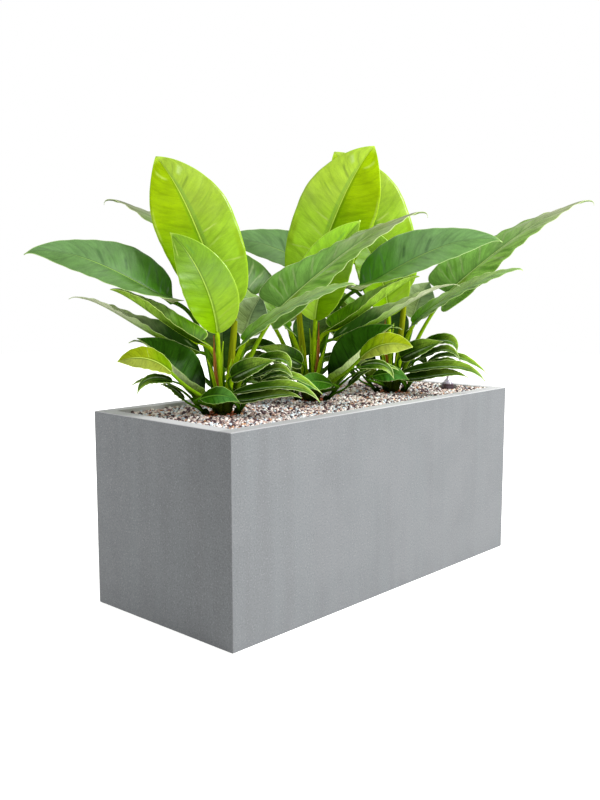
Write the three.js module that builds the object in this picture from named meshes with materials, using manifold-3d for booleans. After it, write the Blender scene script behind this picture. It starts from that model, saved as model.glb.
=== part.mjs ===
// Potted imperial green philodendron: a long rectangular planter that holds three plants in granulate.
// Millimetres, +Z up. The origin is the centre of the planter's underside, with +X along its long side.
import * as THREE from "three";
import { mergeVertices } from "three/addons/utils/BufferGeometryUtils.js";
import { LoftGeometry } from "three/addons/geometries/LoftGeometry.js";
import Module from "manifold-3d";

const wasm = await Module();
wasm.setup();

// Driving dimensions of the planter and its filling.
const PLANTER_LENGTH = 920;
const PLANTER_DEPTH = 400;
const PLANTER_HEIGHT = 400;
const RIM_WIDTH = 30;
const RIM_HEIGHT = 30;
const WALL = 14;
const FLOOR = 18;
const EDGE_BEVEL = 2;
const GAP = 0.3;
const WELD = 0.02;
const FILL_LEVEL = 390;
const GRAIN_PITCH = 38;
const GRAIN_RELIEF = 5;

// Each plant's roots sit in a culture pot, under the granulate. Pellets fill the pot and show at the crown.
const POT_TOP = 370;
const POT_BOTTOM = 225;
const POT_TOP_RADIUS = 76;
const POT_BOTTOM_RADIUS = 64;
const POT_WALL = 2;
const POT_SLOTS = 6;
const NECK_RADIUS = 46;
const PELLET_RADIUS = 9;
const PELLETS_SHOWN = 9;
const CROWN_RADIUS = 17;
const CROWN_TOP = 16;
const CROWN_CHAMFER = 5;
const CROWN_SIDES = 12;
const STALK_ROOT = 7;
const CROWN_DEPTH = 60;
const SHOOT_RADIUS = 7;
const SHOOT_DEPTH = 30;
const SHOOT_TOP = 14;
const SHOOT_CHAMFER = 3;
const STUMP_SIDES = 8;
const SHOOT_SINK = 6;
const POT_SIDES = 16;
const SLOT = { width: 6, height: 50, depth: 12, rise: 40 };
const GOLDEN_ANGLE = Math.PI * (3 - Math.sqrt(5));

// Blades and stalks.
const BLADE = 1.3;
const MIDRIB_DEPTH = 1.6;
const HEEL_HALF = 3.2;
const TIP_HALF = 0.8;
const LOBE_PEAK = 2.6;
const LONG_BLADE = 210;
const LONG_BLADE_STEPS = 7;
const BLADE_STEPS = 6;
const SHOOT_BLADE_STEPS = 3;
const STALK_STEPS = 4;
const STALK_SIDES = 5;
const SHOOT_STALK = { steps: 2, sides: 3, foot: 3.4, heel: 2.2, rootHeight: 3, spread: 2.5, fan: 0.5 };
const UP = new THREE.Vector3(0, 0, 1);

// The water gauge stands in the granulate near the right-hand rim.
const GAUGE = {
  x: 410, y: -65, radius: 15, wall: 3, top: 403, coneTop: 417, slim: 3.5, tubeTop: 462, float: 60,
};
const GAUGE_SIDES = 12;

// Where each plant stands, how it is turned about the vertical, its size and its handedness. lost: the
// large leaves that it doesn't have. In a plant's own frame x runs to the right, y away from the viewer
// and z up from the granulate.
const PLANTS = [
  { name: "left", x: -268, y: 30, turn: -42.6, size: 1, hand: 1, lost: [] },
  { name: "middle", x: 12, y: 36, turn: -48.6, size: 1.097, hand: -1, lost: [] },
  { name: "right", x: 258, y: -2, turn: -51, size: 1.115, hand: 1, lost: ["yellow_left"] },
];

// The large blades of one plant. midrib: its points at the heel, one third, two thirds and the tip.
// face: where the upper side looks at the heel and at the tip. half: greatest half-width, reached at
// the share widest of the length. rise: degrees that the left and the right half stand up from the
// midrib, curl: degrees added towards the margin. wave and waves: height and number of the margin's
// waves. lobe: how far the base lobes reach back past the heel. root: where the stalk leaves the
// crown, lean: the way it leaves, thick: its radius at the crown and at the heel.
const LARGE_LEAVES = [
  {
    name: "tall", colour: 0x8fc31c,
    midrib: [[22, 5, 217], [-26, 0, 320], [-68, 5, 421], [-126, 25, 515]],
    face: [[0.1, -1, 0.1], [0, -1, 0.2]],
    half: 83, widest: 0.53, base: 0.5, taper: 0.85, rise: [22, 10], riseTip: [15, -4], curl: [-1, -9],
    wave: 3, waves: 3, lobe: 14,
    root: [12, 5], lean: [0, 0, 1], thick: [8, 6.8],
  },
  {
    name: "front", colour: 0x83c224,
    midrib: [[-8, -42, 167], [-21, -56, 236], [-51, -66, 305], [-96, -62, 362]],
    face: [[0.1, -1, 0.1], [0, -1, 0.1]],
    half: 57, widest: 0.35, base: 0.64, taper: 1.1, rise: [50, 17], riseTip: [14, 9], curl: [-3, -1],
    wave: 2, waves: 2, lobe: 1,
    root: [-3, -13], lean: [0, -0.1, 1], thick: [5, 4.4],
  },
  {
    name: "broad", colour: 0x3f7d46,
    midrib: [[-95, -10, 228], [-158, -40, 264], [-260, -62, 313], [-369, -85, 323]],
    face: [[0.2, -0.5, 0.86], [0.1, -0.5, 0.86]],
    half: 77, widest: 0.37, base: 0.62, taper: 1.35, rise: [50, 20], riseTip: [-22, 10], curl: [-5, 2],
    wave: 3, waves: 2, lobe: 11,
    root: [-10, 2], lean: [-0.15, 0, 1], thick: [6, 4],
  },
  {
    name: "long", colour: 0x4c8a3c,
    midrib: [[118, 0, 213], [192, -15, 281], [321, -20, 375], [419, -25, 402]],
    face: [[-0.4, -0.55, 0.73], [-0.2, -0.3, 0.9]],
    half: 76, widest: 0.2, base: 0.45, taper: 1.4, rise: [30, 17], riseTip: [-37, 20], curl: [-2, -8],
    wave: 3, waves: 2, lobe: 30,
    root: [12, 4], lean: [0.4, 0, 1], thick: [6, 4],
  },
  {
    name: "narrow_right", colour: 0x5d9a35,
    midrib: [[46, -46, 152], [97, -76, 197], [186, -108, 248], [255, -132, 264]],
    face: [[-0.3, -0.35, 0.9], [-0.3, -0.1, 0.95]],
    half: 35, widest: 0.26, base: 0.42, taper: 0.92, rise: [14, 17], riseTip: [-4, -7], curl: [1, -8],
    wave: 2, waves: 2, lobe: 25,
    root: [10, -12], lean: [0.05, -0.2, 1], thick: [7, 4.1],
  },
  {
    name: "narrow_left", colour: 0x55872b,
    midrib: [[-43, -30, 149], [-99, -50, 182], [-158, -70, 226], [-209, -90, 254]],
    face: [[0.35, -0.4, 0.85], [0.3, -0.2, 0.9]],
    half: 42, widest: 0.2, base: 0.53, taper: 0.85, rise: [23, 29], riseTip: [40, 12], curl: [4, 1],
    wave: 2, waves: 2, lobe: 24,
    root: [-9, -11], lean: [-0.1, -0.1, 1], thick: [6.5, 4.5],
  },
  {
    name: "canoe_left", colour: 0x2f5c33,
    midrib: [[-44, 19, 125], [-144, 15, 166], [-228, 6, 217], [-300, -9, 238]],
    face: [[0.3, -0.1, 0.95], [0.3, -0.1, 0.95]],
    half: 45, widest: 0.28, base: 0.62, taper: 1.3, rise: [30, 53], riseTip: [32, -28], curl: [-11, 4],
    wave: 2, waves: 3, lobe: 1,
    root: [-11, 7], lean: [-0.1, 0.1, 1], thick: [5, 3.6],
  },
  {
    name: "back_right", colour: 0x6d8c66,
    midrib: [[50, 32, 160], [58, 48, 190], [70, 62, 215], [86, 76, 238]],
    face: [[0.2, -0.7, 0.7], [0.2, -0.6, 0.8]],
    half: 38, widest: 0.4, base: 0.5, taper: 1.15, rise: [15, 15], curl: [0, 0],
    wave: 2, waves: 2, lobe: 9,
    root: [9, 12], lean: [0.2, 0.2, 1], thick: [5, 3.4],
  },
  {
    name: "back", colour: 0x2e5a34,
    midrib: [[3, 27, 92], [2, 35, 127], [2, 39, 161], [4, 39, 197]],
    face: [[0, -0.9, 0.4], [0, -0.9, 0.4]],
    half: 38, widest: 0.55, base: 0.5, taper: 1.15, rise: [10, 10], curl: [0, 0],
    wave: 2, waves: 2, lobe: 9,
    root: [-2, 14], lean: [0, 0.3, 1], thick: [5, 3.4],
  },
  {
    name: "yellow_left", colour: 0x9aa92c,
    midrib: [[-95, -125, 98], [-122, -137, 120], [-155, -148, 129], [-192, -155, 122]],
    face: [[0.1, -0.6, 0.8], [0, -0.6, 0.8]],
    half: 34, widest: 0.48, base: 0.57, taper: 1, rise: [23, 3], riseTip: [-14, 0], curl: [1, -2],
    wave: 1, waves: 2, lobe: 3,
    root: [-9, -12], lean: [-0.25, -1, 0.7], thick: [4.5, 3],
  },
  {
    name: "dark_left", colour: 0x24502b,
    midrib: [[-38, -38, 34], [-79, -46, 68], [-116, -52, 118], [-164, -52, 159]],
    face: [[0.5, -0.35, 0.8], [0.4, -0.3, 0.85]],
    half: 66, widest: 0.49, base: 0.47, taper: 1.3, rise: [63, 34], riseTip: [17, 26], curl: [-5, 5],
    wave: 2, waves: 2, lobe: 3,
    root: [-14, -2], lean: [-0.4, -0.1, 1], thick: [4.5, 3.2],
  },
  {
    name: "low_front", colour: 0x3a7a36,
    midrib: [[-42, -94, 44], [-16, -103, 51], [8, -110, 50], [34, -116, 39]],
    face: [[0, -0.7, 0.7], [0, -0.7, 0.7]],
    half: 22, widest: 0.43, base: 0.62, taper: 1.36, rise: [-5, 4], riseTip: [8, 2], curl: [-2, -1],
    wave: 1, waves: 1, lobe: 0,
    root: [-8, -14], lean: [-0.6, -0.8, 1], thick: [4, 2.6],
  },
];

// Low leafy shoots of one plant. foot: where the shoot stands, about the crown's centre.
const SHOOTS = [
  {
    name: "shoot_left", foot: [-33, -17], colour: 0x3f7a33,
    leaves: [
      {
        midrib: [[-96, -90, 78], [-122, -98, 83], [-146, -104, 78], [-161, -106, 56]],
        face: [[0, -0.6, 0.8], [0, -0.8, 0.6]], half: 10,
      },
      {
        midrib: [[-74, -74, 40], [-88, -82, 54], [-102, -88, 65], [-117, -96, 73]],
        face: [[0.2, -0.6, 0.8], [0.2, -0.4, 0.9]], half: 9,
      },
      {
        midrib: [[-109, -76, 74], [-132, -82, 81], [-153, -86, 80], [-172, -90, 71]],
        face: [[0, -0.5, 0.86], [0, -0.5, 0.86]], half: 6,
      },
    ],
  },
  {
    name: "shoot_right", foot: [30, -8], colour: 0x2f6a33,
    leaves: [
      {
        midrib: [[19, -44, 80], [43, -57, 94], [72, -66, 106], [105, -72, 116]],
        face: [[0, -0.85, 0.5], [0, -0.7, 0.7]], half: 18,
      },
      {
        midrib: [[69, -12, 105], [99, -25, 116], [126, -38, 115], [137, -45, 90]],
        face: [[0, -0.7, 0.7], [0, -0.9, 0.4]], half: 12,
      },
      {
        midrib: [[61, -25, 78], [90, -42, 92], [118, -58, 98], [142, -72, 74]],
        face: [[0, -0.5, 0.86], [0, -0.6, 0.8]], half: 11,
      },
      {
        midrib: [[77, -20, 67], [114, -45, 85], [155, -72, 78], [196, -92, 50]],
        face: [[0, -0.4, 0.9], [0, -0.5, 0.86]], half: 10,
      },
      {
        midrib: [[21, -45, 48], [79, -72, 62], [141, -92, 65], [190, -105, 35]],
        face: [[0, -0.4, 0.9], [0, -0.6, 0.8]], half: 14,
      },
      {
        midrib: [[73, -5, 56], [99, -15, 67], [124, -25, 71], [147, -35, 65]],
        face: [[0, -0.5, 0.86], [0, -0.5, 0.86]], half: 10,
      },
      {
        midrib: [[19, -60, 38], [64, -82, 43], [111, -98, 52], [154, -108, 44]],
        face: [[0, -0.6, 0.8], [0, -0.6, 0.8]], half: 13,
      },
    ],
  },
  {
    name: "shoot_rear", foot: [4, 31], colour: 0x35702f,
    leaves: [
      {
        midrib: [[-14, 58, 44], [-24, 80, 56], [-36, 100, 56], [-48, 118, 42]],
        face: [[0, 0.3, 0.95], [0, 0.4, 0.9]], half: 19,
      },
      {
        midrib: [[12, 58, 44], [13, 74, 54], [12, 90, 54], [9, 105, 42]],
        face: [[0, 0.2, 0.95], [0, 0.4, 0.9]], half: 19,
      },
      {
        midrib: [[40, 54, 50], [55, 66, 62], [70, 77, 64], [84, 86, 50]],
        face: [[0, 0.3, 0.95], [0, 0.4, 0.9]], half: 18,
      },
      {
        midrib: [[-104, 14, 114], [-134, 4, 134], [-160, -6, 149], [-184, -14, 147]],
        face: [[0.3, 0, 0.95], [0.3, 0, 0.95]], half: 9,
      },
    ],
  },
];

// A closed geometry as a solid, and a solid as a geometry.
function solidOf(geometry) {
  const bare = new THREE.BufferGeometry().setAttribute("position", geometry.attributes.position);
  bare.setIndex(geometry.index);
  const merged = mergeVertices(bare, 1e-3);
  return new wasm.Manifold(
    new wasm.Mesh({
      numProp: 3,
      vertProperties: merged.attributes.position.array,
      triVerts: new Uint32Array(merged.index.array),
    }),
  );
}

function geometryOf(solid) {
  const mesh = solid.getMesh();
  const geometry = new THREE.BufferGeometry();
  geometry.setAttribute("position", new THREE.BufferAttribute(mesh.vertProperties, 3));
  geometry.setIndex(new THREE.BufferAttribute(mesh.triVerts, 1));
  const faceted = geometry.toNonIndexed();
  faceted.computeVertexNormals();
  return faceted;
}

const joined = (solids) => solids.reduce((whole, solid) => whole.add(solid));

// The largest body of a fused solid, with edges shorter than WELD closed up: a hollow that fusing seals
// is filled, and a loose scrap dropped.
const soundBody = (solid) =>
  solid
    .simplify(WELD)
    .decompose()
    .reduce((best, body) => (body.volume() > best.volume() ? body : best));

function meshOf(name, geometry, colour, roughness) {
  const material = new THREE.MeshStandardMaterial({ color: colour, roughness, metalness: 0 });
  const mesh = new THREE.Mesh(geometry, material);
  mesh.name = name;
  return mesh;
}

// A lathe round +Z from [radius, height] pairs, from low to high on the outside.
function turned(profile, sides) {
  const points = profile.map(([radius, height]) => new THREE.Vector2(radius, height));
  return new THREE.LatheGeometry(points, sides).rotateX(Math.PI / 2);
}

// A seeded random draw between 0 and 1.
function randomFrom(seed) {
  let state = seed;
  return () => {
    state = (state * 1664525 + 1013904223) % 4294967296;
    return state / 4294967296;
  };
}

// The smooth curve through four points that are evenly spaced along it.
function curveThrough([a, b, c, d]) {
  const mix = (wa, wb, wc, wd) =>
    new THREE.Vector3()
      .addScaledVector(a, wa)
      .addScaledVector(b, wb)
      .addScaledVector(c, wc)
      .addScaledVector(d, wd);
  return new THREE.CubicBezierCurve3(
    a,
    mix(-5 / 6, 3, -3 / 2, 1 / 3),
    mix(1 / 3, -3 / 2, 3, -5 / 6),
    d,
  );
}

// Share of the greatest half-width: a quarter of an ellipse up to the widest place, then a taper.
function outline(u, leaf) {
  if (u < leaf.widest) return (1 - (1 - u / leaf.widest) ** 2) ** leaf.base;
  const past = (u - leaf.widest) / (1 - leaf.widest);
  return (1 - past ** 2) ** leaf.taper;
}

// The point of a blade at u along the midrib and v across, -1 to 1, and the blade's normal there.
function bladePoint(leaf, curve, u, v) {
  const hand = leaf.hand;
  const middle = curve.getPoint(u);
  const along = curve.getTangent(u);
  const face = leaf.face[0].clone().lerp(leaf.face[1], u);
  const across = along.clone().cross(face).normalize();
  const up = across.clone().cross(along);
  const side = v * hand < 0 ? 0 : 1;
  const reach = Math.abs(v);
  const width = Math.max(leaf.half * outline(u, leaf), HEEL_HALF * (1 - u) + TIP_HALF * u);
  const rise = THREE.MathUtils.lerp(leaf.rise[side], leaf.riseTip[side], u);
  const angle = THREE.MathUtils.degToRad(rise + leaf.curl[side] * reach);
  const sign = Math.sign(v);
  const back = Math.max(0, 1 - u / leaf.widest) * Math.sqrt(u / leaf.widest) * LOBE_PEAK * leaf.lobe;
  const ripple = Math.sin(2 * Math.PI * leaf.waves * u + side * 2) * Math.sin(Math.PI * u);
  const wave = leaf.wave * ripple * v * v;
  const point = middle
    .addScaledVector(across, sign * width * reach * Math.cos(angle))
    .addScaledVector(up, width * reach * Math.sin(angle) + wave)
    .addScaledVector(along, -back * v * v);
  const normal = up.multiplyScalar(Math.cos(angle)).addScaledVector(across, -sign * Math.sin(angle));
  return { point, normal };
}

// A thin blade: the upper and the lower face are one grid, split into triangles alike, and a rim.
function bladeGeometry(leaf, lengthSteps, sideSteps) {
  const curve = curveThrough(leaf.midrib);
  const rows = lengthSteps + 1;
  const columns = 2 * sideSteps + 1;
  const places = [];
  for (const face of [1, -1]) {
    for (let row = 0; row < rows; row++) {
      const u = (row / lengthSteps) ** 1.25;
      for (let column = 0; column < columns; column++) {
        const v = column / sideSteps - 1;
        const { point, normal } = bladePoint(leaf, curve, u, v);
        const ridge = face < 0 && v === 0 ? MIDRIB_DEPTH * (1 - u) : 0;
        places.push(point.addScaledVector(normal, face * (BLADE / 2) - ridge));
      }
    }
  }
  const lower = rows * columns;
  const at = (row, column) => row * columns + column;
  const index = [];
  for (let row = 0; row < lengthSteps; row++) {
    for (let column = 0; column < columns - 1; column++) {
      const [a, b] = [at(row, column), at(row, column + 1)];
      const [d, c] = [at(row + 1, column), at(row + 1, column + 1)];
      const halves = column < sideSteps ? [[a, b, c], [a, c, d]] : [[a, b, d], [b, c, d]];
      for (const [p, q, r] of halves) {
        index.push(p, q, r);
        index.push(lower + p, lower + r, lower + q);
      }
    }
  }
  const rim = [];
  for (let column = 0; column < columns - 1; column++) rim.push(at(0, column));
  for (let row = 0; row < lengthSteps; row++) rim.push(at(row, columns - 1));
  for (let column = columns - 1; column > 0; column--) rim.push(at(lengthSteps, column));
  for (let row = lengthSteps; row > 0; row--) rim.push(at(row, 0));
  rim.forEach((p, i) => {
    const q = rim[(i + 1) % rim.length];
    index.push(p, lower + p, lower + q);
    index.push(p, lower + q, q);
  });
  const geometry = new THREE.BufferGeometry().setFromPoints(places);
  geometry.setIndex(index);
  return geometry;
}

// A tapering stalk with rounded sections along a curve.
function stalkGeometry(curve, startRadius, endRadius, steps, sides) {
  const sections = [];
  for (let i = 0; i <= steps; i++) {
    const t = i / steps;
    const along = curve.getTangent(t);
    const side = new THREE.Vector3(0, 0, 1).cross(along);
    if (side.lengthSq() < 1e-4) side.set(1, 0, 0);
    side.normalize();
    const up = along.clone().cross(side);
    const radius = THREE.MathUtils.lerp(startRadius, endRadius, t);
    const section = [];
    for (let k = 0; k < sides; k++) {
      const angle = (2 * Math.PI * k) / sides;
      section.push(
        curve
          .getPoint(t)
          .addScaledVector(side, radius * Math.cos(angle))
          .addScaledVector(up, radius * Math.sin(angle)),
      );
    }
    sections.push(section);
  }
  return new LoftGeometry(sections, { capStart: true, capEnd: true });
}

const leavesOf = (plant) => LARGE_LEAVES.filter((leaf) => !plant.lost.includes(leaf.name));

// The leaf's numbers as vectors of its plant's size and hand.
function grown(leaf, plant) {
  const place = ([x, y, z]) => new THREE.Vector3(x * plant.hand, y, z).multiplyScalar(plant.size);
  const way = ([x, y, z]) => new THREE.Vector3(x * plant.hand, y, z).normalize();
  return {
    widest: 0.35, base: 0.5, taper: 1.15, rise: [12, 12], curl: [0, 0], wave: 1, waves: 2, lobe: 4,
    riseTip: leaf.rise ?? [12, 12],
    ...leaf,
    hand: plant.hand,
    midrib: leaf.midrib.map(place),
    face: leaf.face.map(way),
    half: leaf.half * plant.size,
  };
}

// The curve of a stalk from its root to a point on the line of the blade's heel.
function stalkCurve(root, lean, leaf, short) {
  const heel = leaf.midrib[0];
  const along = curveThrough(leaf.midrib).getTangent(0);
  const end = heel.clone().addScaledVector(along, -short);
  const reach = root.distanceTo(end) * 0.4;
  return new THREE.CubicBezierCurve3(
    root,
    root.clone().addScaledVector(lean, reach),
    end.clone().addScaledVector(along, -reach),
    end,
  );
}

function crownSolid(plant) {
  const shoulder = CROWN_TOP - CROWN_CHAMFER * 2;
  const shorter = CROWN_RADIUS - CROWN_CHAMFER;
  const crown = turned(
    [
      [0, -CROWN_DEPTH],
      [CROWN_RADIUS, -CROWN_DEPTH],
      [CROWN_RADIUS, shoulder],
      [shorter, CROWN_TOP],
      [0, CROWN_TOP],
    ],
    CROWN_SIDES,
  );
  const stalks = leavesOf(plant).map((leaf) => {
    const big = grown(leaf, plant);
    const root = new THREE.Vector3(leaf.root[0] * plant.hand, leaf.root[1], STALK_ROOT);
    const lean = new THREE.Vector3(leaf.lean[0] * plant.hand, leaf.lean[1], leaf.lean[2]).normalize();
    const curve = stalkCurve(root, lean, big, GAP);
    return solidOf(stalkGeometry(curve, leaf.thick[0], leaf.thick[1], STALK_STEPS, STALK_SIDES));
  });
  return soundBody(joined([solidOf(crown), ...stalks]));
}

function shootSolid(shoot, plant) {
  const foot = new THREE.Vector3(shoot.foot[0] * plant.hand, shoot.foot[1], 0);
  const stump = turned(
    [
      [0, -SHOOT_DEPTH],
      [SHOOT_RADIUS, -SHOOT_DEPTH],
      [SHOOT_RADIUS, SHOOT_TOP - 2 * SHOOT_CHAMFER],
      [SHOOT_RADIUS - SHOOT_CHAMFER, SHOOT_TOP],
      [0, SHOOT_TOP],
    ],
    STUMP_SIDES,
  );
  const pieces = [solidOf(stump.translate(foot.x, foot.y, 0))];
  for (const [i, small] of shoot.leaves.entries()) {
    const leaf = grown(small, plant);
    const lean = foot.clone().setLength(0.9).setZ(1).normalize();
    const outwards = leaf.midrib[0].clone().sub(foot).setZ(0).setLength(SHOOT_STALK.spread);
    outwards.applyAxisAngle(UP, (i - shoot.leaves.length / 2) * SHOOT_STALK.fan);
    const root = foot.clone().add(outwards).setZ(SHOOT_STALK.rootHeight);
    const curve = stalkCurve(root, lean, leaf, -SHOOT_SINK);
    const { foot: thick, heel: thin, steps, sides } = SHOOT_STALK;
    pieces.push(solidOf(stalkGeometry(curve, thick, thin, steps, sides)));
    pieces.push(solidOf(bladeGeometry(leaf, SHOOT_BLADE_STEPS, 1)));
  }
  return soundBody(joined(pieces));
}

function plantGroup(plant) {
  const group = new THREE.Group();
  group.position.set(plant.x, plant.y, FILL_LEVEL);
  group.rotation.z = THREE.MathUtils.degToRad(plant.turn);
  group.add(meshOf(plant.name + "_stems", geometryOf(crownSolid(plant)), 0x7a8f2a, 0.55));
  for (const leaf of leavesOf(plant)) {
    const big = grown(leaf, plant);
    const steps = big.midrib[0].distanceTo(big.midrib[3]) > LONG_BLADE ? LONG_BLADE_STEPS : BLADE_STEPS;
    const geometry = geometryOf(solidOf(bladeGeometry(big, steps, 2)));
    group.add(meshOf(plant.name + "_" + leaf.name, geometry, leaf.colour, 0.4));
  }
  for (const shoot of SHOOTS) {
    const geometry = geometryOf(shootSolid(shoot, plant));
    group.add(meshOf(plant.name + "_" + shoot.name, geometry, shoot.colour, 0.45));
  }
  group.add(meshOf(plant.name + "_root_ball", geometryOf(rootBallSolid(plant)), 0x9a4a32, 0.9));
  group.add(meshOf(plant.name + "_culture_pot", geometryOf(culturePotSolid()), 0x2b2d2e, 0.5));
  return group;
}

// Heights in a plant's frame, whose origin is on the granulate.
const potTop = POT_TOP - FILL_LEVEL;
const potBottom = POT_BOTTOM - FILL_LEVEL;
const potRadius = (height) =>
  THREE.MathUtils.mapLinear(height, potBottom, potTop, POT_BOTTOM_RADIUS, POT_TOP_RADIUS);

function culturePotSolid() {
  const floor = potBottom + POT_WALL;
  const pot = turned(
    [
      [0, potBottom],
      [POT_BOTTOM_RADIUS, potBottom],
      [POT_TOP_RADIUS, potTop],
      [POT_TOP_RADIUS - POT_WALL, potTop],
      [potRadius(floor) - POT_WALL, floor],
      [0, floor],
    ],
    POT_SIDES,
  );
  const slots = [];
  for (let i = 0; i < POT_SLOTS; i++) {
    const slot = new THREE.BoxGeometry(SLOT.depth, SLOT.width, SLOT.height);
    slot.translate(potRadius(floor + SLOT.rise), 0, floor + SLOT.rise);
    slot.rotateZ(((i + 0.5) / POT_SLOTS) * 2 * Math.PI);
    slots.push(solidOf(slot));
  }
  return solidOf(pot).subtract(joined(slots));
}

// The pellets fill the pot, narrow to a neck and show as round lumps about the crown.
function rootBallSolid(plant) {
  const floor = potBottom + POT_WALL + GAP;
  const ball = turned(
    [
      [0, floor],
      [potRadius(floor) - POT_WALL - GAP, floor],
      [POT_TOP_RADIUS - POT_WALL - GAP, potTop],
      [NECK_RADIUS, potTop],
      [NECK_RADIUS, -PELLET_RADIUS],
      [0, -PELLET_RADIUS],
    ],
    POT_SIDES,
  );
  const random = randomFrom(7);
  const pellets = [];
  for (let i = 0; i < PELLETS_SHOWN; i++) {
    const angle = i * GOLDEN_ANGLE;
    const reach = (NECK_RADIUS - PELLET_RADIUS - 1) * Math.sqrt((i + 0.5) / PELLETS_SHOWN);
    const pellet = new THREE.IcosahedronGeometry(PELLET_RADIUS * (0.8 + 0.2 * random()), 0);
    pellet.rotateX(random() * Math.PI);
    pellet.translate(reach * Math.cos(angle), reach * Math.sin(angle), -PELLET_RADIUS + 2 * random());
    pellets.push(solidOf(pellet));
  }
  const holes = [holeSolid(0, 0, CROWN_RADIUS + GAP, CROWN_DEPTH + GAP)];
  for (const shoot of SHOOTS) {
    const [x, y] = shoot.foot;
    holes.push(holeSolid(x * plant.hand, y, SHOOT_RADIUS + GAP, SHOOT_DEPTH + GAP));
  }
  return soundBody(joined([solidOf(ball), ...pellets]).subtract(joined(holes)));
}

// A plain round hole down from above the surface.
function holeSolid(x, y, radius, depth) {
  const above = 40;
  const hole = turned([[0, -depth], [radius, -depth], [radius, above], [0, above]], 16);
  return solidOf(hole.translate(x, y, 0));
}

function planterSolid() {
  const half = [PLANTER_LENGTH / 2 - EDGE_BEVEL, PLANTER_DEPTH / 2 - EDGE_BEVEL];
  const footprint = new THREE.Shape([
    new THREE.Vector2(-half[0], -half[1]),
    new THREE.Vector2(half[0], -half[1]),
    new THREE.Vector2(half[0], half[1]),
    new THREE.Vector2(-half[0], half[1]),
  ]);
  const block = new THREE.ExtrudeGeometry(footprint, {
    depth: PLANTER_HEIGHT - 2 * EDGE_BEVEL,
    bevelSize: EDGE_BEVEL,
    bevelThickness: EDGE_BEVEL,
    bevelSegments: 2,
  }).translate(0, 0, EDGE_BEVEL);
  const mouth = boxSolid(
    PLANTER_LENGTH - 2 * RIM_WIDTH,
    PLANTER_DEPTH - 2 * RIM_WIDTH,
    FLOOR + WALL,
    PLANTER_HEIGHT + 1,
  );
  const hollow = boxSolid(
    PLANTER_LENGTH - 2 * WALL,
    PLANTER_DEPTH - 2 * WALL,
    FLOOR,
    PLANTER_HEIGHT - RIM_HEIGHT,
  );
  return solidOf(block).subtract(mouth.add(hollow));
}

// An upright box round the vertical axis, from one height to another.
function boxSolid(length, depth, low, high) {
  return solidOf(new THREE.BoxGeometry(length, depth, high - low).translate(0, 0, (low + high) / 2));
}

// The granulate fills the planter and reaches under its rim. Its top is a grid of seeded rises and dips,
// coarser than the real grains.
function granulateSolid() {
  const length = PLANTER_LENGTH - 2 * (RIM_WIDTH + GAP);
  const depth = PLANTER_DEPTH - 2 * (RIM_WIDTH + GAP);
  const bottom = FLOOR + WALL;
  const columns = Math.round(length / GRAIN_PITCH);
  const rows = Math.round(depth / GRAIN_PITCH);
  const random = randomFrom(3);
  const top = new THREE.PlaneGeometry(length, depth, columns, rows);
  const places = top.attributes.position;
  for (let i = 0; i < places.count; i++) {
    const rim = Math.abs(places.getX(i)) > length / 2 - 1 || Math.abs(places.getY(i)) > depth / 2 - 1;
    const shift = rim ? 0 : GRAIN_PITCH * 0.3;
    places.setXYZ(
      i,
      places.getX(i) + (random() - 0.5) * shift,
      places.getY(i) + (random() - 0.5) * shift,
      FILL_LEVEL + (random() - 0.5) * GRAIN_RELIEF,
    );
  }
  const upper = Array.from(top.index.array);
  const count = places.count;
  const points = [];
  for (let i = 0; i < count; i++) points.push(new THREE.Vector3().fromBufferAttribute(places, i));
  const rim = [];
  for (let x = 0; x < columns; x++) rim.push(x);
  for (let y = 0; y < rows; y++) rim.push(y * (columns + 1) + columns);
  for (let x = columns; x > 0; x--) rim.push(rows * (columns + 1) + x);
  for (let y = rows; y > 0; y--) rim.push(y * (columns + 1));
  for (const p of rim) points.push(points[p].clone().setZ(bottom));
  const centre = points.length;
  points.push(new THREE.Vector3(0, 0, bottom));
  const index = [...upper];
  rim.forEach((p, i) => {
    const next = (i + 1) % rim.length;
    const [q, low, lowNext] = [rim[next], count + i, count + next];
    index.push(p, q, low, q, lowNext, low, low, lowNext, centre);
  });
  const upperFill = new THREE.BufferGeometry().setFromPoints(points);
  upperFill.setIndex(index);
  const lowerFill = boxSolid(
    PLANTER_LENGTH - 2 * (WALL + GAP),
    PLANTER_DEPTH - 2 * (WALL + GAP),
    FLOOR + GAP,
    PLANTER_HEIGHT - RIM_HEIGHT - GAP,
  );
  const holes = PLANTS.map((plant) => {
    const hole = turned(
      [
        [0, POT_BOTTOM - GAP],
        [POT_BOTTOM_RADIUS + GAP, POT_BOTTOM - GAP],
        [POT_TOP_RADIUS + GAP, POT_TOP + GAP],
        [NECK_RADIUS + GAP, POT_TOP + GAP],
        [NECK_RADIUS + GAP, PLANTER_HEIGHT],
        [0, PLANTER_HEIGHT],
      ],
      POT_SIDES,
    );
    hole.rotateZ(THREE.MathUtils.degToRad(plant.turn));
    return solidOf(hole.translate(plant.x, plant.y, 0));
  });
  const wide = GAUGE.radius + GAP;
  const well = new THREE.CylinderGeometry(wide, wide, PLANTER_HEIGHT, GAUGE_SIDES);
  well.rotateX(Math.PI / 2).translate(GAUGE.x, GAUGE.y, FLOOR + PLANTER_HEIGHT / 2);
  return solidOf(upperFill).add(lowerFill).subtract(joined([...holes, solidOf(well)]));
}

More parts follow.
